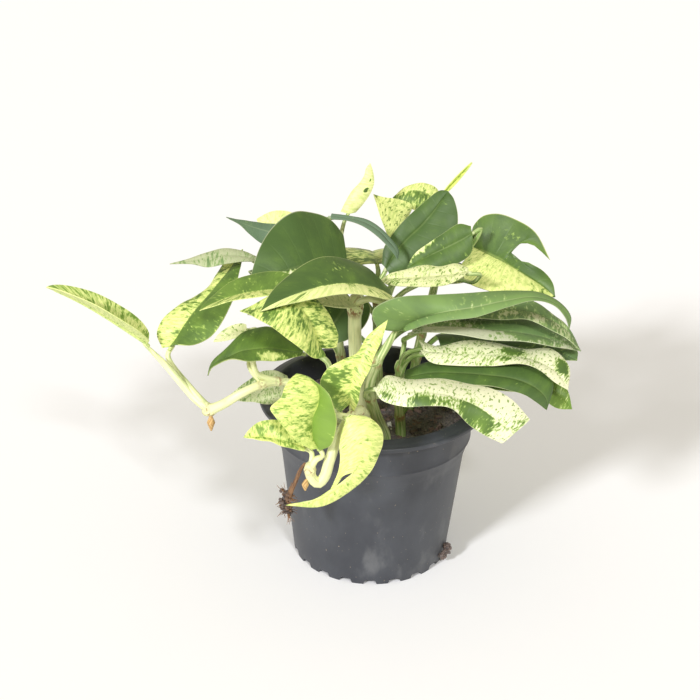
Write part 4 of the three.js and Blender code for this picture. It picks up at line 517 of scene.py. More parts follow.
class Shell:
    """Points in millimetres, faces as arrays of corner numbers, and named values for each point."""

    def __init__(self, points, faces, values=None):
        self.points = np.asarray(points, float).reshape(-1, 3)
        self.faces = [block for block in faces if len(block)]
        self.values = {}
        self.give(values or {})

    def give(self, values):
        """Adds named values, one row for each point."""
        for name, value in values.items():
            self.values[name] = np.asarray(value, float).reshape(len(self.points), -1)


def joined(shells):
    """One shell that holds all the given ones; a value that one lacks is zero there."""
    offset, faces, values = 0, [], {}
    for shell in shells:
        faces += [block + offset for block in shell.faces]
        offset += len(shell.points)
    for name in sorted({name for shell in shells for name in shell.values}):
        width = max(s.values[name].shape[1] for s in shells if name in s.values)
        values[name] = np.concatenate([s.values.get(name, np.zeros((len(s.points), width))) for s in shells])
    return Shell(np.concatenate([s.points for s in shells]), faces, values)


def grid_faces(rows, columns, wrap=False):
    """Four-cornered faces of a grid of rows x columns points; wrap joins the last column to the first."""
    i, j = np.meshgrid(np.arange(rows - 1), np.arange(columns if wrap else columns - 1), indexing="ij")
    k = (j + 1) % columns
    return np.stack([i * columns + j, i * columns + k, (i + 1) * columns + k, (i + 1) * columns + j],
                    axis=-1).reshape(-1, 4)


def welded(shell, closeness=1e-4):
    """The shell as triangles, with points that lie together merged and faces that lost an edge left out."""
    key = np.round(shell.points / closeness).astype(np.int64)
    _, first, index = np.unique(key, axis=0, return_index=True, return_inverse=True)
    triangles = []
    for corners in shell.faces:
        corners = index.ravel()[corners]
        triangles.append(corners[:, :3])
        if corners.shape[1] == 4:
            triangles.append(corners[:, [0, 2, 3]])
    tri = np.concatenate(triangles)
    whole = (tri[:, 0] != tri[:, 1]) & (tri[:, 1] != tri[:, 2]) & (tri[:, 2] != tri[:, 0])
    return Shell(shell.points[first], [tri[whole]], {name: v[first] for name, v in shell.values.items()})


def thickened(shell, thickness):
    """A sheet of triangles given a wall: each point goes half the thickness out along the mean of its
    faces' normals and half in, and every open edge gets a wall. The value "under" is 1 on the lower face."""
    tri = shell.faces[0]
    a, b, c = (shell.points[tri[:, i]] for i in range(3))
    normal = np.zeros_like(shell.points)
    for i in range(3):
        np.add.at(normal, tri[:, i], np.cross(b - a, c - a))
    n = len(shell.points)
    rise = unit(normal) * thickness / 2
    edges = np.concatenate([tri[:, [0, 1]], tri[:, [1, 2]], tri[:, [2, 0]]])
    open_edges = edges[~np.isin(edges[:, 0] * n + edges[:, 1], edges[:, 1] * n + edges[:, 0])]
    p, q = open_edges[:, 0], open_edges[:, 1]
    values = {name: np.concatenate([v, v]) for name, v in shell.values.items()}
    values["under"] = np.repeat([0.0, 1.0], n)
    return Shell(np.concatenate([shell.points + rise, shell.points - rise]),
                 [tri, n + tri[:, ::-1], np.stack([p, n + p, n + q, q], axis=1)], values)


def spline(knots, t):
    """Points at shares t of a centripetal curve through knots: between two knots it is a cubic whose slopes
    come from their neighbours, weighted by the roots of the distances."""
    knots = np.asarray(knots, float)
    ends = np.vstack([2 * knots[0] - knots[1], knots, 2 * knots[-1] - knots[-2]])
    t = np.clip(np.asarray(t, float), 0, 1) * (len(knots) - 1)
    k = np.minimum(t.astype(int), len(knots) - 2)
    w = (t - k)[..., None]
    p0, p1, p2, p3 = (ends[k + i] for i in range(4))
    d0, d1, d2 = (np.maximum(np.linalg.norm(q - p, axis=-1, keepdims=True) ** 0.5, 1e-4)
                  for p, q in ((p0, p1), (p1, p2), (p2, p3)))
    m1 = ((p1 - p0) / d0 - (p2 - p0) / (d0 + d1) + (p2 - p1) / d1) * d1
    m2 = ((p2 - p1) / d1 - (p3 - p1) / (d1 + d2) + (p3 - p2) / d2) * d1
    return ((2 * w**3 - 3 * w**2 + 1) * p1 + (w**3 - 2 * w**2 + w) * m1
            + (3 * w**2 - 2 * w**3) * p2 + (w**3 - w**2) * m2)


def curve_through(knots, step):
    """A curve through knots of x, y, z and radius: points about one step apart, their radii and their
    distance along the curve."""
    knots = np.asarray(knots, float)
    t = np.linspace(0, 1, 40 * (len(knots) - 1) + 1)
    path = spline(knots[:, :3], t)
    radius = np.interp(t * (len(knots) - 1), np.arange(len(knots)), knots[:, 3])
    run = distance_along(path)
    at = np.linspace(0, run[-1], max(3, round(run[-1] / step) + 1))
    path = np.stack([np.interp(at, run, path[:, i]) for i in range(3)], axis=1)
    return path, np.interp(at, run, radius), at


def carried_frames(path):
    """Two directions square to the path at each of its points, carried along it without twist, and the
    path's own direction."""
    tangent = unit(np.gradient(path, axis=0))
    first = np.cross(tangent[0], [0.0, 0.0, 1.0] if abs(tangent[0][2]) < 0.9 else [1.0, 0.0, 0.0])
    normals = [unit(first)]
    for direction in tangent[1:]:
        normals.append(unit(normals[-1] - (normals[-1] @ direction) * direction))
    normals = np.array(normals)
    return normals, np.cross(tangent, normals), tangent


def tube(path, radius, sides, channel=0.0, seed=0.0):
    """A closed tube: ring i is path[i] + radius[i] (cos u N + sin u B), with a shallow channel where u is
    near a quarter turn. Both ends are rounded by two smaller rings and closed to a point."""
    normals, binormals, tangent = carried_frames(path)
    caps = [[(path[end] + way * tangent[end] * radius[end] * out, radius[end] * share)
             for share, out in TUBE_CAP] for end, way in ((0, -1), (-1, 1))]
    rings = caps[0] + list(zip(path, radius)) + caps[1][::-1]
    centre, radii = np.array([ring[0] for ring in rings]), np.array([ring[1] for ring in rings])
    pick = np.concatenate([[0, 0], np.arange(len(path)), [len(path) - 1] * 2])
    u = full_turn(sides)
    away = (u - math.pi / 2 + math.pi) % (2 * math.pi) - math.pi
    shape = radii[:, None, None] * (1 - channel * np.exp(-(away / CHANNEL_WIDTH) ** 2))[None, :, None]
    ring = np.cos(u)[:, None] * normals[pick][:, None] + np.sin(u)[:, None] * binormals[pick][:, None]
    points = centre[:, None] + shape * ring
    rows = len(centre)
    j = np.arange(sides)
    k = (j + 1) % sides
    last, pole = (rows - 1) * sides, np.full(sides, rows * sides)
    faces = [grid_faces(rows, sides, wrap=True), np.stack([k, j, pole], axis=1),
             np.stack([last + j, last + k, pole + 1], axis=1)]
    run = distance_along(path)
    where = np.stack([np.repeat(run[pick], sides), np.tile(np.abs(away), rows) * np.repeat(radii, sides),
                      np.full(rows * sides, seed)], axis=1)
    where = np.vstack([where, [run[0], 0, seed], [run[-1], 0, seed]])
    points = np.vstack([points.reshape(-1, 3), points[0].mean(0), points[-1].mean(0)])
    return Shell(points, faces, {"grain_place": where})


def shell_object(name, shell, material, crease=50.0):
    """Puts a shell into a mesh object at the origin, in metres, smooth except at edges over the crease."""
    mesh = bpy.data.meshes.new(name)
    faces = [row for block in shell.faces for row in block.tolist()]
    mesh.from_pydata((shell.points * MM).tolist(), [], faces)
    for label, value in shell.values.items():
        wide = value.shape[1] == 3
        layer = mesh.attributes.new(label, "FLOAT_VECTOR" if wide else "FLOAT", "POINT")
        layer.data.foreach_set("vector" if wide else "value", value.ravel())
    mesh.polygons.foreach_set("use_smooth", np.ones(len(mesh.polygons), bool))
    mesh.set_sharp_from_angle(angle=math.radians(crease))
    mesh.materials.append(material)
    mesh.update()
    piece = bpy.data.objects.new(name, mesh)
    bpy.context.scene.collection.objects.link(piece)
    return piece


def seated(piece, slot, *nodes):
    """The piece rides on the plant's one body and stands for CAD nodes; its slot is not used."""
    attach(piece, "root")
    if nodes:
        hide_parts(*nodes)


# ---- leaves ----

def leaf_table():
    """The rows of LEAVES and DRAWN as dictionaries, by name, with the plain heart's values and the paint
    filled in. A drawn half holds its margin, in two parts if it is cut, and its cut."""
    table = {}
    for name, base, tip, width, *angles, more in LEAVES:
        roll, rise, droop, fold, curl = map(math.radians, angles)
        table[name] = {"base": np.array(base, float), "tip": np.array(tip, float), "width": width,
                       "roll": roll, "rise": rise, "droop": droop, "fold": fold, "curl": curl,
                       **PLAIN_HEART, **more}
    for name, width, arch, left, rib, right, cuts in DRAWN:
        halves = {side: {"margins": [line], "cut": None} for side, line in ((-1, left), (1, right))}
        for side, at, start, before, after in cuts:
            line = halves[side]["margins"][0]
            halves[side] = {"margins": [line[:at + 1], after[-1:] + line[at + 1:]],
                            "cut": {"at": at / (len(rib) - 1), "near": len(rib) - 1, "start": start,
                                    "edges": [before, after]}}
        table[name] = {"width": width, "left": 1.0, "arch": arch, "rib": rib, "halves": halves}
    for slot, rows in PAINT.items():
        for name, (left, right, yellow, deep, *more) in rows.items():
            table[name].update({"slot": slot, "share": {-1: left, 1: right}, "yellow": yellow, "deep": deep,
                                **PLAIN_PAINT, **(more[0] if more else {})})
    for number, leaf in enumerate(table.values()):
        leaf["number"] = number
    return table


LEAF = leaf_table()


def half_width(leaf, side):
    """Width of the left (-1) or right (1) half of a blade."""
    return leaf["width"] / 2 * (leaf["left"] if side < 0 else 1.0)


def direction_along(knots, t):
    """Direction of the curve through knots at shares t."""
    return unit(spline(knots, np.minimum(t + 1e-4, 1)) - spline(knots, np.maximum(t - 1e-4, 0)))


def rib_frame(leaf, share):
    """Point, direction, upper normal and side of the midrib at shares of its length, and its length. The
    midrib is a cubic Bezier curve from base to tip. It leaves the chord by the angle rise and comes back to
    it by droop, both towards the upper side. A drawn midrib has its own curve. Past its ends it goes
    straight on."""
    share = np.asarray(share, float)
    t = np.clip(share, 0, 1)
    if "rib" in leaf:
        path = spline(leaf["rib"], np.linspace(0, 1, 200))
        length = np.linalg.norm(np.diff(path, axis=0), axis=1).sum()
        at, direction = spline(leaf["rib"], t), direction_along(leaf["rib"], t)
        inner = np.clip(t, 0.1, 0.9)
        across = margin_points(leaf["halves"][1], inner) - margin_points(leaf["halves"][-1], inner)
        upper = np.cross(across, direction)
    else:
        p0, p3 = leaf["base"], leaf["tip"]
        length = np.linalg.norm(p3 - p0)
        along = (p3 - p0) / length
        level = unit(np.array([0.0, 0.0, 1.0]) - along[2] * along)
        upper = level * math.cos(leaf["roll"]) + np.cross(along, level) * math.sin(leaf["roll"])
        handle = HEART_REACH * length
        leaving, coming = (unit(along * math.cos(lift) + upper * math.sin(lift)) * handle
                           for lift in (leaf["rise"], -leaf["droop"]))
        p1, p2 = p0 + leaving, p3 - coming
        w = t[..., None]
        at = (1 - w) ** 3 * p0 + 3 * (1 - w) ** 2 * w * p1 + 3 * (1 - w) * w**2 * p2 + w**3 * p3
        direction = unit((1 - w) ** 2 * (p1 - p0) + 2 * (1 - w) * w * (p2 - p1) + w**2 * (p3 - p2))
    at = at + direction * (share - t)[..., None] * length
    normal = unit(upper - np.sum(upper * direction, axis=-1, keepdims=True) * direction)
    return at, direction, normal, np.cross(direction, normal), length


def margin_points(half, m, way=None):
    """Points of a drawn margin. Past a cut it is a curve of its own; way tells which of the two is meant,
    0 before the cut and 1 after it, or none for each point's own."""
    if half["cut"] is None:
        return spline(half["margins"][0], m)
    at = half["cut"]["at"]
    before, after = spline(half["margins"][0], m / at), spline(half["margins"][1], (m - at) / (1 - at))
    if way is None:
        return np.where((m < at)[..., None], before, after)
    return (before, after)[way]


def margin(leaf, m):
    """The margin of one half, with m from the notch at the stalk to the tip: its place along the midrib
    goes as a cosine, and its distance from it as a power of a sine that grows towards the tip, swollen
    near the base by the belly."""
    angle = math.pi * (0.1 + 0.9 * m)
    along = -leaf["lobe"] + (1 + leaf["lobe"]) * (1 - np.cos(angle)) / 2
    taper = np.maximum(np.sin(angle), 0) ** (0.75 + leaf["point"] * m * m)
    return along, taper * (1 + HEART_BELLY * np.cos(angle))


def vein_phase(side, m):
    """Counts the lateral veins: a whole number lies on a vein. The two halves' veins alternate."""
    return VEINS * m**0.85 + np.where(side > 0, 0.35, 0.0)


def relief(leaf, side, m, v):
    """Height of the living surface over the smooth one, in mm: the midrib lies in a groove, each lateral
    vein in a shallow one with the tissue puffed between them, the margin ripples, and the whole blade
    waves a little. Both halves keep the same height at the midrib, and none of it reaches the tip."""
    size = leaf["width"] / LARGE_WIDTH
    phase = np.random.default_rng(leaf["number"]).uniform(0, 2 * math.pi, 2)
    groove = -GROOVE_DEPTH * size * np.exp(-((v * leaf["width"] / 2 / GROOVE_WIDTH) ** 2))
    vein = -VEIN_DEPTH * size * np.cos(2 * math.pi * vein_phase(side, m)) * v**0.4 * np.sqrt(1 - v)
    ripple, wave = (height * size * v**power * np.sin(2 * math.pi * turns * m + p) * np.sin(math.pi * m)
                    for (height, power, turns), p in zip((RIPPLE, WAVE), phase))
    whole = np.clip(size, 0.3, 1)
    half = np.clip(half_width(leaf, side) / (LARGE_WIDTH / 2), 0.3, 1)
    return (groove + vein + ripple + wave) * (whole + (half - whole) * v) * np.clip(12 * (1 - m), 0, 1)


def heart_points(leaf, side, m, v):
    """Points of a heart-shaped blade: m along the margin, v from the midrib (0) to the margin (1). The
    point lies beside the midrib at a share between the vein's foot and its end, as far out as the margin
    times v, turned up by fold and back down by curl. Returns the points, their upper normals and their
    distance from the midrib."""
    widest = margin(leaf, np.linspace(0, 1, 400))[1].max()
    end, reach = margin(leaf, m)
    foot = m**1.1
    share = foot + (end - foot) * v**1.4
    across = reach / widest * half_width(leaf, side) * v
    at, _, normal, out, _ = rib_frame(leaf, share)
    bend = leaf["curl"] * v / 2
    chord = across * np.sinc(bend / math.pi)
    lean = leaf["fold"] - bend
    points = at + out * (side * chord * np.cos(lean))[..., None] + normal * (chord * np.sin(lean))[..., None]
    return points, normal, across


def cut_points(cut, root, line, v):
    """Points of one edge of a cut: straight from the midrib to where the cut opens, then along the edge.
    Where both edges come together again, they go straight on as one."""
    first, third, last = (np.array(line[i], float) for i in (0, 2, 3))
    past = (v - cut["start"]) / (1 - cut["start"])
    closed = root + (first - root) * np.clip(v / cut["start"], 0, 1)[..., None]
    points = np.where((past < 0)[..., None], closed, spline(line, past))
    if cut["edges"][0][2] == cut["edges"][1][2]:
        met = third + (last - third) * (3 * past - 2)[..., None]
        points = np.where((past > 2 / 3)[..., None], met, points)
    return points


def drawn_points(leaf, side, m, v, way):
    """Points of a drawn blade, their upper normals and their distance from the midrib. A point lies on the
    straight way from midrib to margin and arches up from it. At a cut it lies on the cut's edge, the
    tissue up to the next point of the midrib follows, and both edges arch alike. Close to the midrib the
    normals turn into its own, which both halves share."""
    half, rib = leaf["halves"][side], leaf["rib"]
    cut = half["cut"]
    foot, end = spline(rib, m), margin_points(half, m, way)
    points = foot + (end - foot) * v[..., None]
    if cut:
        root, line = spline(rib, np.array(cut["at"])), cut["edges"][way]
        close = np.clip(1 - np.abs(m - cut["at"]) * cut["near"], 0, 1)[..., None]
        straight = root + (np.array(line[-1]) - root) * v[..., None]
        points += (cut_points(cut, root, line, v) - straight) * close
        end = end + ((np.array(cut["edges"][0][-1]) + cut["edges"][1][-1]) / 2 - end) * close
    out = end - foot
    reach = np.linalg.norm(out, axis=-1)
    normal = unit(np.cross(out, direction_along(rib, m))) * side
    points = points + normal * (leaf["arch"] * reach * 4 * v * (1 - v))[..., None]
    inner = np.clip(3 * v, 0, 1)[..., None]
    middle = rib_frame(leaf, m)[2]
    return points, middle + (normal - middle) * inner, reach * v


def pale_level(leaf, side, m, v, length):
    """How far the tissue leans to pale: the half's own share as a logit, pushed up or down at patches."""
    share = leaf["share"][side]
    level = np.full(m.shape, math.log(share / (1 - share)) / 1.7)
    for where, along, across, size, push in leaf["patches"]:
        if where == side:
            far = ((m - along) * length) ** 2 + ((v - across) * half_width(leaf, side)) ** 2
            level = level + push * np.exp(-far / size**2)
    return level


def blade_sheet(leaf):
    """The blade as one welded sheet of triangles. Each half is a grid of columns (veins) and rows, in two
    parts where it is cut. Both halves have the same columns, so that they meet all along the midrib."""
    length = rib_frame(leaf, 0.0)[4]
    columns = int(np.clip(round(length * 0.75), 30, 64))
    rows = int(np.clip(round(leaf["width"] / 3.2), 7, 16))
    halves = leaf.get("halves", {})
    stops = [0.0, *(half["cut"]["at"] for half in halves.values() if half["cut"]), 1.0]
    parts = [np.linspace(start, stop, max(6, round(columns * (stop - start))) + 1)
             for start, stop in zip(stops, stops[1:])]
    v = np.linspace(0, 1, rows + 1) ** 1.15
    shells = []
    for side in (-1, 1):
        cut = halves and halves[side]["cut"]
        for way, places in enumerate(parts if cut else [np.unique(np.concatenate(parts))]):
            mm, vv = np.meshgrid(places, v, indexing="ij")
            points, normal, across = (drawn_points(leaf, side, mm, vv, way) if halves
                                      else heart_points(leaf, side, mm, vv))
            points = points + normal * relief(leaf, side, mm, vv)[..., None]
            faces = grid_faces(len(places), rows + 1)
            place = np.stack([mm * length, side * across, np.full(mm.shape, leaf["number"] * SEED_STEP)], -1)
            shell = Shell(points, [faces if side > 0 else faces[:, ::-1]])
            shell.give({"blade_place": place, "vein": vein_phase(side, mm), "span": vv,
                        "pale": pale_level(leaf, side, mm, vv, length)})
            shell.give({name: np.full(mm.shape, leaf[name])
                        for name in ("yellow", "deep", "specks", "bloom")})
            shells.append(shell)
    return welded(joined(shells))


def rib_ridge(leaf):
    """The midrib that stands out under the blade: a slim tube that starts at the stalk's end and thins to
    the tip, sunk by half its radius into the lower face."""
    share = np.linspace(-0.02, 0.93, 26)
    at, _, normal, _, _ = rib_frame(leaf, share)
    size = leaf["width"] / LARGE_WIDTH
    radius = (0.55 + leaf["width"] / 75) * (1 - share) ** 0.7 + 0.12
    sink = 0.25 + GROOVE_DEPTH * size * np.clip(size, 0.3, 1)
    ridge = tube(at - normal * (sink + radius * 0.55)[:, None], radius, 8)
    n = len(ridge.points)
    values = {"under": 1.0, "span": 0.0, "pale": 0.9, "vein": 0.0,
              **{name: leaf[name] for name in ("yellow", "deep", "bloom")}}
    return Shell(ridge.points, ridge.faces, {"blade_place": ridge.values["grain_place"],
                                             **{name: np.full(n, value) for name, value in values.items()}})


# ---- shader groups ----

class Value:
    """An output of a shader node; sums, differences and products with it add a math node."""

    def __init__(self, graph, socket):
        self.graph, self.socket = graph, socket

    def __add__(self, other):
        return self.graph.math("ADD", self, other)

    def __sub__(self, other):
        return self.graph.math("SUBTRACT", self, other)

    def __mul__(self, other):
        return self.graph.math("MULTIPLY", self, other)


class Graph:
    """Adds nodes to a node tree. A value is linked, and anything else is set."""

    def __init__(self, tree):
        self.tree = tree

    def node(self, kind, inputs=None, **settings):
        made = self.tree.nodes.new(kind)
        for key, value in settings.items():
            setattr(made, key, value)
        for key, value in (inputs or {}).items():
            self.put(made.inputs[key], value)
        return made

    def put(self, socket, value):
        if isinstance(value, Value):
            self.tree.links.new(value.socket, socket)
        else:
            socket.default_value = value

    def result(self, kind, inputs, output=0, **settings):
        return Value(self, self.node(kind, inputs, **settings).outputs[output])

    def math(self, operation, a, b):
        return self.result("ShaderNodeMath", {0: a, 1: b}, operation=operation)

    def mix(self, factor, a, b):
        return self.result("ShaderNodeMix", {0: factor, 6: a, 7: b}, 2, data_type="RGBA")

    def step(self, value, low, high):
        return self.result("ShaderNodeMapRange", {0: value, 1: low, 2: high}, interpolation_type="SMOOTHSTEP")

    def noise(self, place, scale, shift=(0, 0, 0), detail=3.0, rough=0.55):
        place = self.result("ShaderNodeVectorMath", {0: place, 1: scale, 2: shift}, operation="MULTIPLY_ADD")
        return self.result("ShaderNodeTexNoise", {"Vector": place, "Scale": 1.0, "Detail": detail,
                                                  "Roughness": rough})

    def attribute(self, name, output="Fac"):
        return self.result("ShaderNodeAttribute", {}, output, attribute_name=name)

    def grain(self, group, place, stretch, detail):
        return self.result("ShaderNodeGroup", {"Place": place, "Stretch": stretch, "Detail": detail},
                           node_tree=group)


def new_group(name, inputs, outputs):
    """An empty node group with named sockets, given as (name, default), where no default means a vector,
    and (name, socket type). Returns the group, its graph, its inputs as values and its output node."""
    group = bpy.data.node_groups.new(name, "ShaderNodeTree")
    for label, default in inputs:
        kind = "NodeSocketVector" if default is None else "NodeSocketFloat"
        socket = group.interface.new_socket(label, in_out="INPUT", socket_type=kind)
        if default is not None:
            socket.default_value = default
    for label, kind in outputs:
        group.interface.new_socket(label, in_out="OUTPUT", socket_type=kind)
    graph = Graph(group)
    given = {socket.name: Value(graph, socket) for socket in graph.node("NodeGroupInput").outputs}
    return group, graph, given, graph.node("NodeGroupOutput")


def tissue_group(colours):
    """Colour of a blade. A level, which is the pale share plus streaks along the veins and wider
    blotches, picks between deep green, light green, lime and pale tissue. Fine lime streaks and specks of
    green lie on the pale tissue. Veins, midrib and margin are drawn over it, bloom greys it, and the lower
    face is duller."""
    group, g, given, out = new_group("blade_tissue", [
        ("Place", None), ("Vein", 0.0), ("Span", 0.0), ("Pale", 0.0), ("Yellow", 0.5), ("Deep", 0.5),
        ("Under", 0.0), ("Streak", 2.0), ("Blotch", 9.0), ("Specks", 0.0), ("Vein Light", 0.3),
        ("Dull", 0.35), ("Bloom", 0.0)],
        [("Color", "NodeSocketColor"), ("Pale Mask", "NodeSocketFloat"), ("Height", "NodeSocketFloat")])
    place, vein_light = given["Place"], given["Vein Light"]
    streak, blotch = g.math("DIVIDE", 1.0, given["Streak"]), g.math("DIVIDE", 1.0, given["Blotch"])
    streak = g.result("ShaderNodeCombineXYZ", {0: streak, 1: streak * 0.38, 2: 1.0})
    blotch = g.result("ShaderNodeCombineXYZ", {0: blotch, 1: blotch * 0.5, 2: 1.0})
    streak = g.noise(place, streak, detail=5.0, rough=0.62)
    blotch = g.noise(place, blotch, (3.1, 8.7, 1.3), detail=2.0)
    level = (streak - 0.5) * 7.5 + given["Pale"] + (blotch - 0.5) * 5.0
    mottle = g.noise(place, (0.12, 0.07, 1.0), (5.0, 2.0, 4.0))
    deep = given["Deep"] + (mottle - 0.5) * 0.9
    green = g.mix(g.step(deep, 0.0, 1.0), colours["light_green"], colours["deep_green"])
    pale = g.mix(given["Yellow"], colours["cream"], colours["yellow"])
    lime = g.mix(0.45, colours["lime"], pale)
    colour = g.mix(g.step(level, -1.0, -0.3), green, g.mix(0.5, green, colours["lime"]))
    colour = g.mix(g.step(level, -0.35, 0.2), colour, lime)
    mask = g.step(level, 0.1, 0.75)
    tint = g.noise(place, (0.8, 0.2, 1.0), (7.3, 2.9, 8.0), detail=4.0, rough=0.6)
    tint = g.step(tint, 0.42, 0.62) * (given["Yellow"] * 0.62)
    colour = g.mix(mask, colour, g.mix(tint, pale, colours["lime"]))
    speck = g.noise(place, (0.62, 0.34, 1.0), (1.7, 9.1, 6.0), detail=2.0, rough=0.5)
    speck = g.step(speck, 0.58, 0.65) * given["Specks"]
    colour = g.mix(speck * mask, colour, g.mix(0.35, green, colours["lime"]))
    vein = g.step(g.math("PINGPONG", given["Vein"], 0.5), 0.07, 0.0) * g.step(given["Span"], 1.0, 0.7)
    colour = g.mix(vein * vein_light, colour, g.mix(0.5, colour, colours["lime"]))
    colour = g.mix(g.step(given["Span"], 0.075, 0.02) * (vein_light * 3.0), colour, lime)
    colour = g.mix(g.step(given["Span"], 0.975, 1.0) * 0.45, colour, pale)
    colour = g.mix(given["Bloom"], colour, colours["bloom"])
    colour = g.mix(given["Under"] * given["Dull"], colour, colours["underside"])
    fine = g.noise(place, (1.1, 0.8, 1.0))
    g.put(out.inputs["Color"], colour)
    g.put(out.inputs["Pale Mask"], mask)
    g.put(out.inputs["Height"], fine * 0.25 - vein * 0.25)
    return group


def grain_group():
    """Fine grain: noise at a place stretched its own way along each axis."""
    group, g, given, out = new_group("stretched_grain", [("Place", None), ("Stretch", None), ("Detail", 3.0)],
                                     [("Grain", "NodeSocketFloat")])
    g.put(out.inputs["Grain"], g.noise(given["Place"], given["Stretch"], detail=given["Detail"]))
    return group


def blank_material(name):
    """A material with a Principled shader and its graph."""
    material = bpy.data.materials.new(name)
    material.use_nodes = True
    material.node_tree.nodes.clear()
    graph = Graph(material.node_tree)
    shader = graph.node("ShaderNodeBsdfPrincipled")
    graph.node("ShaderNodeOutputMaterial", {"Surface": Value(graph, shader.outputs["BSDF"])})
    return material, graph, shader


def finish(graph, shader, colour, roughness, height, strength, distance):
    """Gives the shader its colour, its roughness and a bump whose height counts in a distance in metres."""
    bump = graph.result("ShaderNodeBump", {"Height": height, "Strength": strength, "Distance": distance})
    for name, value in (("Base Color", colour), ("Roughness", roughness), ("Normal", bump)):
        graph.put(shader.inputs[name], value)


def object_place(graph):
    """Object coordinates in millimetres."""
    place = graph.result("ShaderNodeTexCoord", {}, "Object")
    return graph.result("ShaderNodeVectorMath", {0: place, 1: (1 / MM,) * 3}, operation="MULTIPLY")


def leaf_material(slot, tissue, streak, blotch, specks, vein_light, dull, gloss):
    """Living blade: the tissue group's colour, satin above and dull below, with veins in the bump."""
    material, g, shader = blank_material(slot)
    under, place = g.attribute("under"), g.attribute("blade_place", "Vector")
    made = g.node("ShaderNodeGroup", {
        "Place": place, "Vein": g.attribute("vein"), "Span": g.attribute("span"),
        "Pale": g.attribute("pale"), "Yellow": g.attribute("yellow"), "Deep": g.attribute("deep"),
        "Under": under, "Streak": streak, "Blotch": blotch, "Specks": g.attribute("specks") * specks,
        "Vein Light": vein_light, "Dull": dull, "Bloom": g.attribute("bloom")}, node_tree=tissue)
    worn = g.noise(place, (0.09, 0.09, 1.0))
    finish(g, shader, Value(g, made.outputs["Color"]), (worn - 0.5) * 0.25 + gloss + under * 0.2,
           Value(g, made.outputs["Height"]), 0.5, 0.0004)
    shader.inputs["Specular IOR Level"].default_value = 0.3
    return material


def stem_material(colours, grain):
    """Fleshy stem: long pale and green streaks, brown papery remains at the nodes."""
    material, g, shader = blank_material("stem")
    place = g.attribute("grain_place", "Vector")
    tone = g.attribute("pale") + (g.grain(grain, place, (0.05, 0.9, 1.0), 3.0) - 0.5) * 1.6
    colour = g.mix(g.step(tone, 0.05, 0.95), colours["stem_green"], colours["stem_pale"])
    brown = g.step(g.grain(grain, place, (0.3, 0.5, 1.0), 4.0), 0.42, 0.6) * g.attribute("scar")
    fine = g.grain(grain, place, (0.12, 2.2, 1.0), 2.0)
    finish(g, shader, g.mix(brown, colour, colours["scar"]), brown * 0.4 + 0.42, fine, 0.5, 0.0004)
    return material


def pot_material(colours, grain):
    """Thin moulded plastic: faint mottling and fine turning lines, a dull film of pale dust that is denser
    low on the wall, and specks of dried dirt that stand out a little."""
    material, g, shader = blank_material("pot_plastic")
    place = object_place(g)
    mottle = g.grain(grain, place, (0.03, 0.03, 0.02), 4.0)
    flecks = g.grain(grain, place, (0.55, 0.55, 0.55), 3.0)
    film = g.grain(grain, place, (0.06, 0.06, 0.03), 5.0)
    turned_lines = g.grain(grain, place, (0.02, 0.02, 1.6), 2.0)
    low = g.step(g.result("ShaderNodeSeparateXYZ", {0: place}, 2), 60.0, 5.0)
    dust = g.step(film, 0.52, 0.72) * (low * 0.10 + 0.12)
    dirt = g.step(flecks, 0.70, 0.74) * 0.8
    colour = g.mix(g.step(mottle, 0.3, 0.7), colours["pot"], colours["pot_light"])
    colour = g.mix(dirt, g.mix(dust, colour, colours["dust"]), colours["dirt"])
    rough, height = mottle * 0.2 + 0.36 + dust * 0.3, turned_lines * 0.6 + dirt * 1.2
    finish(g, shader, colour, rough, height, 0.25, 0.0003)
    return material


def soil_material(colours, grain):
    """Moist potting soil: dark grains, each chip by its own tone, and pale grit."""
    material, g, shader = blank_material("soil")
    grains = g.grain(grain, object_place(g), (0.8, 0.8, 0.8), 5.0)
    colour = g.mix(g.step(grains, 0.35, 0.65), colours["soil_dark"], colours["soil"])
    colour = g.mix(g.attribute("tone"), colour, colours["bark"])
    colour = g.mix(g.attribute("pale"), colour, colours["grit"])
    finish(g, shader, colour, grains * 0.2 + 0.75, grains, 0.9, 0.0012)
    return material


def root_material(name, dark, light, soiled, grain):
    """Root bark: streaks of two tones along it, and soil where its tone says so."""
    material, g, shader = blank_material(name)
    streak = g.grain(grain, g.attribute("grain_place", "Vector"), (0.12, 1.4, 1.0), 4.0)
    colour = g.mix(g.attribute("tone"), g.mix(g.step(streak, 0.35, 0.65), dark, light), soiled)
    finish(g, shader, colour, streak * 0.2 + 0.65, streak, 0.7, 0.0005)
    return material


MADE = {}


def materials():
    """Every material, made once."""
    if MADE:
        return MADE
    looks = bpy.context.scene.potted_plant
    colours = {name: (*getattr(looks, name), 1.0) for name in PlantSettings.__annotations__
               if name != "blade_thickness"}
    tissue, grain = tissue_group(colours), grain_group()
    for slot, numbers in LEAF_FINISH.items():
        MADE[slot] = leaf_material(slot, tissue, *numbers)
    MADE["stem"] = stem_material(colours, grain)
    MADE["pot_plastic"] = pot_material(colours, grain)
    MADE["soil"] = soil_material(colours, grain)
    for name, dark, light in (("root", "root_dark", "root"), ("root_dry", "dry_dark", "dry")):
        MADE[name] = root_material(name, colours[dark], colours[light], colours["soil_dark"], grain)
    return MADE


# ---- pot and soil ----

def wall_radius(z):
    """Outer radius of the pot's wall: three straight stretches, wider above the shoulder."""
    return np.interp(z, [0, SHOULDER, BAND_BOTTOM, LIP_BOTTOM],
                     [FOOT_RADIUS, SHOULDER_RADIUS, BAND_BOTTOM_RADIUS, BAND_RADIUS])


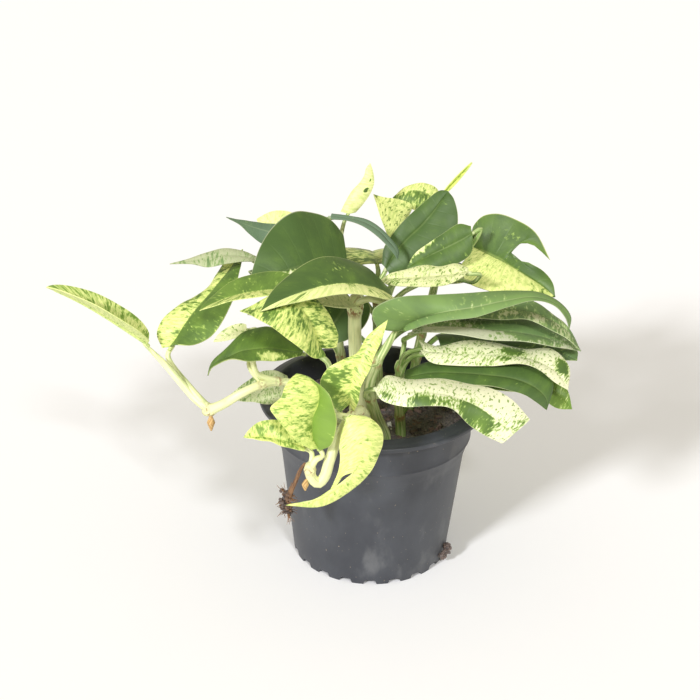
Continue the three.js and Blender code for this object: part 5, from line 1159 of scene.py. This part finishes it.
def pot_profile():
    """Radius and height round the pot's section, from the middle of the underside up the outside, over the
    rim and down the inside, with a fine bead on the lip and a fine ring under the band."""
    outside = [(wall_radius(z), z) for z in (0, 3, 8, 20, 40, 60, 74, SHOULDER, 80, 84, 88.2)]
    band = [(wall_radius(z), z) for z in (91, 96, 102, 108)]
    inside = [(wall_radius(z) - POT_WALL, z) for z in (111, 104, 96, 89, SHOULDER, 50, 20, 7)]
    base = [(FOOT_RADIUS - 2.2, 5.2), (20, 5.2), (0, 5.2)]
    return np.array(POT_UNDERSIDE + outside + POT_RING + band + POT_LIP + inside + base, float)


def notch_lift(angle):
    """How far the foot's edge is lifted at an angle round the pot: full height inside each notch, nothing
    outside, over a short slope."""
    pitch = 2 * math.pi / NOTCHES
    first = math.radians(FIRST_NOTCH) - math.pi / 2
    away = np.abs((angle - first + pitch / 2) % pitch - pitch / 2) * FOOT_RADIUS
    return NOTCH_HEIGHT * np.clip((NOTCH_WIDTH / 2 - away) / 0.9 + 0.5, 0, 1) ** 0.6


def turned(profile, u):
    """Points of a section of radius and height, turned about Z to the angles u."""
    r, z = profile[:, :1], profile[:, 1:]
    return np.stack([r * np.cos(u), r * np.sin(u), z + 0 * u], axis=-1)


def pot_shell():
    """The section turned about Z, its foot edge lifted at the notches."""
    profile, u = pot_profile(), full_turn(POT_SIDES)
    points = turned(profile, u)
    r, z = profile[:, :1], profile[:, 1:]
    lifted = np.maximum(points[..., 2], np.minimum(notch_lift(u) + 0.25 * z, 3.3))
    points[..., 2] = np.where((r > FOOT_RADIUS - 3) & (z < 3.5), lifted, points[..., 2])
    return welded(Shell(points, [grid_faces(len(profile), POT_SIDES, wrap=True)[:, ::-1]]))


def drilled(piece, radius, ring, count):
    """Cuts round drain holes through the pot's floor."""
    shells = []
    for angle in full_turn(count):
        centre = np.array([ring * math.cos(angle), ring * math.sin(angle), 0.0])
        path = centre + np.array([[0, 0, z] for z in (1.0, 3.0, 5.0, 7.0, 9.0)])
        shells.append(tube(path, np.full(5, radius), 24))
    cutter = shell_object("drain_cutter", joined(shells), piece.data.materials[0])
    cut = piece.modifiers.new("drain_holes", "BOOLEAN")
    cut.operation, cut.solver, cut.object = "DIFFERENCE", "EXACT", cutter
    bpy.context.view_layer.update()
    mesh = bpy.data.meshes.new_from_object(piece.evaluated_get(bpy.context.evaluated_depsgraph_get()))
    piece.modifiers.clear()
    piece.data = mesh
    mesh.set_sharp_from_angle(angle=math.radians(40))
    bpy.data.objects.remove(cutter)


def soil_height(x, y):
    """Height of the soil: a low crown in the middle with lumps of three sizes made by sums of waves."""
    r = np.hypot(x, y)
    crown = SOIL_TOP + 0.6 + (SOIL_CROWN - SOIL_TOP) * np.exp(-(r / 36) ** 2)
    lumps = (0.9 * np.sin(x / 7.1 + 1) * np.sin(y / 8.3) + 0.6 * np.sin(x / 3.1 + y / 4.7)
             * np.sin(y / 2.9 - x / 5.3) + 0.3 * np.sin(x / 1.3) * np.sin(y / 1.1 + x / 2.7))
    return crown + lumps


def soil_shell():
    """The bed: a disc whose height is the soil height, and its side and floor inside the pot."""
    u = full_turn(SOIL_SIDES)
    radii = np.concatenate([[0.0], np.linspace(1.5, SOIL_RADIUS, 46)])
    top = turned(np.stack([radii, 0 * radii], axis=1), u)
    top[..., 2] = soil_height(top[..., 0], top[..., 1])
    side = [(wall_radius(z) - SOIL_CLEARANCE, z) for z in (90.0, SHOULDER, 40.0, 8.0)]
    points = np.concatenate([top, turned(np.array(side + [(0.0, SOIL_FLOOR)]), u)])
    return welded(Shell(points, [grid_faces(len(points), len(u), wrap=True)[:, ::-1]]))


def chips(rng, centres, sizes, flatness):
    """Angular chips: boxes whose corners are pulled about, each turned its own way."""
    n = len(centres)
    corners = np.array([[x, y, z] for x in (-1, 1) for y in (-1, 1) for z in (-1, 1)], float)
    shape = np.stack([sizes, sizes * rng.uniform(0.45, 0.8, n), sizes * flatness], axis=1)
    local = corners[None] * shape[:, None] * (1 + rng.uniform(-0.3, 0.3, (n, 8, 3)))
    turn, tilt = rng.uniform(0, 2 * math.pi, n), rng.uniform(-0.7, 0.7, n)
    c, s, ct, st = np.cos(turn), np.sin(turn), np.cos(tilt), np.sin(tilt)
    zero, one = np.zeros(n), np.ones(n)
    yaw = np.stack([c, -s, zero, s, c, zero, zero, zero, one], -1).reshape(n, 3, 3)
    pitch = np.stack([one, zero, zero, zero, ct, -st, zero, st, ct], -1).reshape(n, 3, 3)
    points = np.einsum("nij,nkj->nki", yaw @ pitch, local) + centres[:, None]
    box = np.array([[0, 1, 3, 2], [4, 6, 7, 5], [0, 4, 5, 1], [2, 3, 7, 6], [0, 2, 6, 4], [1, 5, 7, 3]])
    faces = (box[None] + 8 * np.arange(n)[:, None, None]).reshape(-1, 4)
    return points.reshape(-1, 3), faces


def soil_chips():
    """Bark chips and grit scattered on the soil, a third sunk into it, clear of the pot's wall."""
    rng = np.random.default_rng(11)
    count = SOIL_CHIPS
    r, a = 62.0 * np.sqrt(rng.uniform(0, 1, count)), rng.uniform(0, 2 * math.pi, count)
    sizes = rng.uniform(0.5, 1.4, count) * rng.choice([1.0, 1.0, 1.8], count)
    r = np.minimum(r, SOIL_RADIUS - 0.4 - sizes * 1.3)
    x, y = r * np.cos(a), r * np.sin(a)
    centres = np.stack([x, y, soil_height(x, y) + sizes * 0.15], axis=1)
    points, faces = chips(rng, centres, sizes, rng.uniform(0.25, 0.5, count))
    tone = np.where(rng.uniform(0, 1, count) < 0.45, rng.uniform(0.4, 1.0, count), rng.uniform(0, 0.2, count))
    pale = np.where(rng.uniform(0, 1, count) < 0.04, 1.0, 0.0)
    return Shell(points, [faces], {"tone": np.repeat(tone, 8), "pale": np.repeat(pale, 8)})


def crumbs(rng, lumps, count, spread, sizes, flatness, tones):
    """Angular crumbs heaped about lumps of x, y, z and radius."""
    middle = np.array(lumps)[rng.integers(len(lumps), size=count)]
    centres = middle[:, :3] + rng.normal(0, spread, (count, 3)) * middle[:, 3:]
    points, faces = chips(rng, centres, rng.uniform(*sizes, count), np.full(count, flatness))
    return Shell(points, [faces], {"tone": np.repeat(rng.uniform(*tones, count), 8)})


# ---- stems and roots ----

def stalk_knots(name, radius, points, share=0.0):
    """A stalk bends in from behind and ends just under its blade's midrib, at a share of its length."""
    leaf = LEAF[name]
    at, along, normal, _, _ = rib_frame(leaf, share)
    tip = 0.9 + leaf["width"] / 70
    under = 0.45 + 0.3 + tip
    behind = at - along * 6 - normal * (under + 1.2)
    end = at + along * 1.5 - normal * (under - 0.4)
    knots = [[*p, radius + (tip + 0.2 - radius) * i / (len(points) + 1)] for i, p in enumerate(points)]
    return knots + [[*behind, tip + 0.15], [*end, tip * 0.8]]


def with_scar(shell, scar, pale):
    """Gives a tube the values that colour a stem: scar for each ring, and one share of cream."""
    sides = (len(shell.points) - 2) // (len(scar) + 4)
    rings = np.concatenate([[scar[0]] * 2, scar, [scar[-1]] * 2])
    shell.give({"scar": np.concatenate([np.repeat(rings, sides), [scar[0], scar[-1]]]),
                "pale": np.full(len(shell.points), pale)})
    return shell


def stem_shells(vine, number):
    """The main stem, swollen at each place where a stalk leaves it, and its stalks, each with a channel
    along it, a swollen foot and a swollen neck below its blade."""
    path, radius, run = curve_through(vine["stem"], 2.0)
    scar = np.zeros(len(path))
    for stalk in vine["stalks"]:
        away = np.linalg.norm(path - np.array(stalk[2][0], float), axis=1)
        near = np.exp(-((run - run[away.argmin()]) / 2.2) ** 2)
        radius = radius + 0.45 * near
        scar = np.maximum(scar, near)
    seed, pale = number * 5.1, STEM_PALE[vine["name"]]
    shells = [with_scar(tube(path, radius, 18, seed=seed), scar, pale)]
    for k, stalk in enumerate(vine["stalks"]):
        path, radius, run = curve_through(stalk_knots(*stalk), 1.6)
        foot, neck = np.exp(-(run / 3.0) ** 2), np.exp(-((run[-1] - run) / 4.0) ** 2)
        radius = radius * (1 + 0.25 * foot + 0.12 * neck)
        shell = tube(path, radius, 14, channel=0.2, seed=seed + k + 0.5)
        shells.append(with_scar(shell, foot * 0.8, pale * 0.9))
    return shells


def wandering(rng, start, heading, length, radius, wander=0.8, steps=9):
    """A rootlet: a path whose direction drifts at each step, thinning to its end."""
    drift = np.cumsum(rng.normal(0, wander, (steps, 3)), axis=0) * 0.35
    direction = unit(np.asarray(heading, float)[None] + drift)
    path = np.vstack([[start], start + np.cumsum(direction * length / steps, axis=0)])
    return tube(path, np.linspace(radius, radius * 0.35, steps + 1), 6, seed=rng.uniform(0, 50))


def root_shells():
    """The root that hangs from the front stem, its crumbs of soil, and the fibres that stand out of it."""
    rng = np.random.default_rng(5)
    path, radius, run = curve_through(HANGING_ROOT, 1.2)
    shells = [tube(path, radius * (1 + 0.12 * np.sin(run * 1.9)), 12)]
    for _ in range(ROOT_FIBRES):
        x, y, z, r = ROOT_CRUMBS[rng.integers(len(ROOT_CRUMBS))]
        heading = unit(rng.normal(0, 1, 3) + [0.0, 0.0, -0.5])
        start = np.array([x, y, z]) + heading * r * 0.4
        shells.append(wandering(rng, start, heading, rng.uniform(4, 9), rng.uniform(0.22, 0.42)))
    return shells + [crumbs(rng, ROOT_CRUMBS, 150, 0.42, (0.5, 1.5), 0.6, (0.3, 1.0))]


# ---- settings ----

def colour_property(name, description, default):
    """A colour that the panel lists."""
    return bpy.props.FloatVectorProperty(name=name, description=description, subtype="COLOR", size=3,
                                         min=0.0, max=1.0, default=default)


class PlantSettings(bpy.types.PropertyGroup):
    """Sizes and colours of the plant, its pot and its soil."""

    blade_thickness: bpy.props.FloatProperty(
        name="Blade thickness", description="Thickness of every blade", default=0.0006, unit="LENGTH")
    light_green: colour_property("Light green", "Tissue of a young blade", (0.20, 0.33, 0.05))
    deep_green: colour_property("Deep green", "Tissue of an old blade", (0.068, 0.125, 0.03))
    lime: colour_property("Lime", "Between green and pale tissue", (0.36, 0.52, 0.10))
    cream: colour_property("Cream", "Pale tissue of the older leaves", (0.80, 0.785, 0.57))
    yellow: colour_property("Yellow", "Pale tissue of the younger leaves", (0.83, 0.88, 0.27))
    underside: colour_property("Underside", "Bloom on the lower face", (0.36, 0.44, 0.26))
    bloom: colour_property("Bloom", "Blue-grey bloom on dull blades", (0.17, 0.25, 0.17))
    stem_green: colour_property("Stem green", "Green streaks of the stems", (0.20, 0.34, 0.07))
    stem_pale: colour_property("Stem pale", "Pale streaks of the stems", (0.86, 0.88, 0.46))
    scar: colour_property("Scar", "Papery remains at the nodes", (0.33, 0.18, 0.08))
    pot: colour_property("Pot", "Plastic of the pot", (0.035, 0.038, 0.046))
    pot_light: colour_property("Pot light", "Lighter mottling of the plastic", (0.06, 0.065, 0.075))
    dust: colour_property("Dust", "Dust on the pot", (0.32, 0.32, 0.31))
    dirt: colour_property("Dirt", "Dried drops and specks on the pot", (0.30, 0.24, 0.17))
    soil: colour_property("Soil", "Grains of soil", (0.19, 0.155, 0.135))
    soil_dark: colour_property("Dark soil", "Moist soil between the grains", (0.09, 0.08, 0.078))
    bark: colour_property("Bark", "Chips of bark", (0.205, 0.13, 0.10))
    grit: colour_property("Grit", "Pale grit", (0.62, 0.60, 0.52))
    root: colour_property("Root", "Bark of the roots", (0.30, 0.16, 0.07))
    root_dark: colour_property("Dark root", "Streaks of the roots", (0.12, 0.06, 0.03))
    dry: colour_property("Dry root", "Bark of the dry stubs", (0.72, 0.48, 0.20))
    dry_dark: colour_property("Dry root streaks", "Streaks of the dry stubs", (0.42, 0.24, 0.08))


class StageSettings(bpy.types.PropertyGroup):
    """Floor and lights."""

    floor_side: bpy.props.FloatProperty(name="Floor side", description="Side of the square floor",
                                        default=8.0, unit="LENGTH")
    floor_colour: colour_property("Floor", "Colour of the floor", (0.95, 0.945, 0.94))
    sky: bpy.props.FloatProperty(name="Sky", description="Strength of the even light", default=0.47)
    sky_colour: colour_property("Sky colour", "Colour of the even light", (1.0, 0.925, 0.76))
    key: bpy.props.FloatProperty(name="Key light", description="Strength of the main soft light", default=2.5)
    fill: bpy.props.FloatProperty(name="Fill light", description="Strength of the second soft light",
                                  default=1.35)


# ---- operators ----

class PLANT_OT_pot(bpy.types.Operator):
    """Makes the pot: a turned shell with a notched foot, a lip and drain holes, and the soil stuck to it"""

    bl_idname = "plant.pot"
    bl_label = "Pot"

    def execute(self, context):
        piece = shell_object("nursery_pot", pot_shell(), materials()["pot_plastic"], 40)
        drilled(piece, DRAIN_RADIUS, DRAIN_RING, DRAIN_HOLES)
        seated(piece, "pot_plastic", "pot")
        heap = crumbs(np.random.default_rng(3), POT_CRUMBS, 70, 0.4, (0.4, 1.3), 0.7, (0, 0.5))
        seated(shell_object("stuck_crumbs", heap, materials()["soil"], 20), "soil", "pot_crumbs")
        return {"FINISHED"}


class PLANT_OT_soil(bpy.types.Operator):
    """Makes the soil bed and the chips and grit on it"""

    bl_idname = "plant.soil"
    bl_label = "Soil"

    def execute(self, context):
        seated(shell_object("soil_bed", soil_shell(), materials()["soil"]), "soil", "soil")
        seated(shell_object("soil_chips", soil_chips(), materials()["soil"], 20), "soil")
        return {"FINISHED"}


class PLANT_OT_stems(bpy.types.Operator):
    """Makes each stem with its leaf stalks"""

    bl_idname = "plant.stems"
    bl_label = "Stems"

    def execute(self, context):
        for number, vine in enumerate(VINES):
            shell = joined(stem_shells(vine, number))
            seated(shell_object(vine["name"] + "_shoots", shell, materials()["stem"]), "stem", vine["name"])
        return {"FINISHED"}


class PLANT_OT_roots(bpy.types.Operator):
    """Makes the hanging root with its fibres and soil, and the dry stubs"""

    bl_idname = "plant.roots"
    bl_label = "Roots"

    def execute(self, context):
        piece = shell_object("hanging_root_fibres", joined(root_shells()), materials()["root"], 40)
        seated(piece, "root", "hanging_root")
        for name, knots in ROOT_STUBS.items():
            path, radius, _ = curve_through(knots, 0.6)
            bark = tube(path, radius, 14, seed=knots[0][0])
            seated(shell_object(name + "_bark", bark, materials()["root_dry"]), "root", name)
        return {"FINISHED"}


class LeafMaker:
    """Makes every blade that takes its finish from one slot."""

    slot = ""

    def execute(self, context):
        thickness = context.scene.potted_plant.blade_thickness / MM
        for name, leaf in LEAF.items():
            if leaf["slot"] == self.slot:
                shell = joined([thickened(blade_sheet(leaf), thickness), rib_ridge(leaf)])
                seated(shell_object(name + "_blade", shell, materials()[self.slot], 60), self.slot, name)
        return {"FINISHED"}


class PLANT_OT_dark_leaves(LeafMaker, bpy.types.Operator):
    """Makes the green blades"""

    bl_idname = "plant.dark_leaves"
    bl_label = "Green leaves"
    slot = "leaf_dark"


class PLANT_OT_marbled_leaves(LeafMaker, bpy.types.Operator):
    """Makes the blades marbled with yellow"""

    bl_idname = "plant.marbled_leaves"
    bl_label = "Marbled leaves"
    slot = "leaf_marbled"


class PLANT_OT_speckled_leaves(LeafMaker, bpy.types.Operator):
    """Makes the cream blades with green specks"""

    bl_idname = "plant.speckled_leaves"
    bl_label = "Speckled leaves"
    slot = "leaf_speckled"


class PLANT_OT_pale_leaves(LeafMaker, bpy.types.Operator):
    """Makes the dull blades with blue-grey bloom"""

    bl_idname = "plant.pale_leaves"
    bl_label = "Dull leaves"
    slot = "leaf_pale"


def camera_matrix():
    """The camera stands at its distance and elevation from the aim point on the pot's axis, level with X,
    is rolled about its sight, and is turned by the least angle that puts the aim point on its pixel."""
    elevation = math.radians(CAMERA_ELEVATION)
    forward = Vector((0, math.cos(elevation), -math.sin(elevation)))
    place = Vector((0, 0, AIM_HEIGHT)) - forward * CAMERA_DISTANCE
    right = Vector((1, 0, 0))
    upright = Matrix((right, right.cross(forward), -forward))
    middle = IMAGE_SIDE / 2
    sight = Vector(((AIM_PIXEL[0] - middle) / LENS_PIXELS, (middle - AIM_PIXEL[1]) / LENS_PIXELS, -1.0))
    roll = Matrix.Rotation(math.radians(CAMERA_ROLL), 3, "Z")
    turn = Vector((0, 0, -1)).rotation_difference(sight).to_matrix()
    rotation = (turn @ roll @ upright).transposed()
    return Matrix.Translation(place * MM) @ rotation.to_4x4()


class PLANT_OT_stage(bpy.types.Operator):
    """Makes the floor, the lights and the camera"""

    bl_idname = "plant.stage"
    bl_label = "Stage"

    def execute(self, context):
        scene, stage = context.scene, context.scene.plant_stage
        half = stage.floor_side / 2 / MM
        corners = [[-half, -half, 0], [half, -half, 0], [half, half, 0], [-half, half, 0]]
        material, _, shader = blank_material("floor")
        shader.inputs["Base Color"].default_value = (*stage.floor_colour, 1.0)
        shader.inputs["Roughness"].default_value = 0.9
        floor = shell_object("floor", Shell(corners, [np.array([[0, 1, 2, 3]])]), material)
        floor.location.z = FLOOR_DROP
        scene.world = bpy.data.worlds.new("studio")
        scene.world.use_nodes = True
        background = scene.world.node_tree.nodes["Background"].inputs
        background["Color"].default_value = (*stage.sky_colour, 1.0)
        background["Strength"].default_value = stage.sky
        for name, beam, strength in (("key_light", KEY_BEAM, stage.key),
                                     ("fill_light", FILL_BEAM, stage.fill)):
            light = bpy.data.lights.new(name, "SUN")
            light.energy, light.angle, light.color = strength, math.radians(LIGHT_ANGLE), LIGHT_COLOUR
            lamp = bpy.data.objects.new(name, light)
            lamp.matrix_world = Vector(beam).to_track_quat("-Z", "Y").to_matrix().to_4x4()
            scene.collection.objects.link(lamp)
        camera = bpy.data.cameras.new("camera")
        camera.sensor_width = SENSOR_WIDTH
        camera.lens = camera.sensor_width * LENS_PIXELS / IMAGE_SIDE
        camera.clip_end = FAR_PLANE
        eye = bpy.data.objects.new("camera", camera)
        eye.matrix_world = camera_matrix()
        scene.collection.objects.link(eye)
        scene.camera = eye
        scene.view_settings.view_transform = "Standard"
        return {"FINISHED"}


class PLANT_PT_panel(bpy.types.Panel):
    """Lists the plant's pieces in the 3D view's sidebar"""

    bl_idname = "PLANT_PT_panel"
    bl_label = "Potted plant"
    bl_space_type = "VIEW_3D"
    bl_region_type = "UI"
    bl_category = "Plant"

    def draw(self, context):
        for operator in OPERATORS:
            self.layout.operator(operator.bl_idname)
        for group in (context.scene.potted_plant, context.scene.plant_stage):
            for name in group.__annotations__:
                self.layout.prop(group, name)


OPERATORS = (PLANT_OT_pot, PLANT_OT_soil, PLANT_OT_stems, PLANT_OT_roots, PLANT_OT_dark_leaves,
             PLANT_OT_marbled_leaves, PLANT_OT_speckled_leaves, PLANT_OT_pale_leaves, PLANT_OT_stage)
KINDS = (PlantSettings, StageSettings, *OPERATORS, PLANT_PT_panel)


def register():
    """Adds the settings, the operators and the panel."""
    for kind in KINDS:
        bpy.utils.register_class(kind)
    bpy.types.Scene.potted_plant = bpy.props.PointerProperty(type=PlantSettings)
    bpy.types.Scene.plant_stage = bpy.props.PointerProperty(type=StageSettings)


def unregister():
    """Takes them out again."""
    del bpy.types.Scene.potted_plant
    del bpy.types.Scene.plant_stage
    for kind in reversed(KINDS):
        bpy.utils.unregister_class(kind)


def main():
    """Makes every piece through its operator."""
    register()
    bpy.ops.plant.stage()
    bpy.ops.plant.pot()
    bpy.ops.plant.soil()
    bpy.ops.plant.stems()
    bpy.ops.plant.roots()
    bpy.ops.plant.dark_leaves()
    bpy.ops.plant.marbled_leaves()
    bpy.ops.plant.speckled_leaves()
    bpy.ops.plant.pale_leaves()


if __name__ == "__main__":
    main()
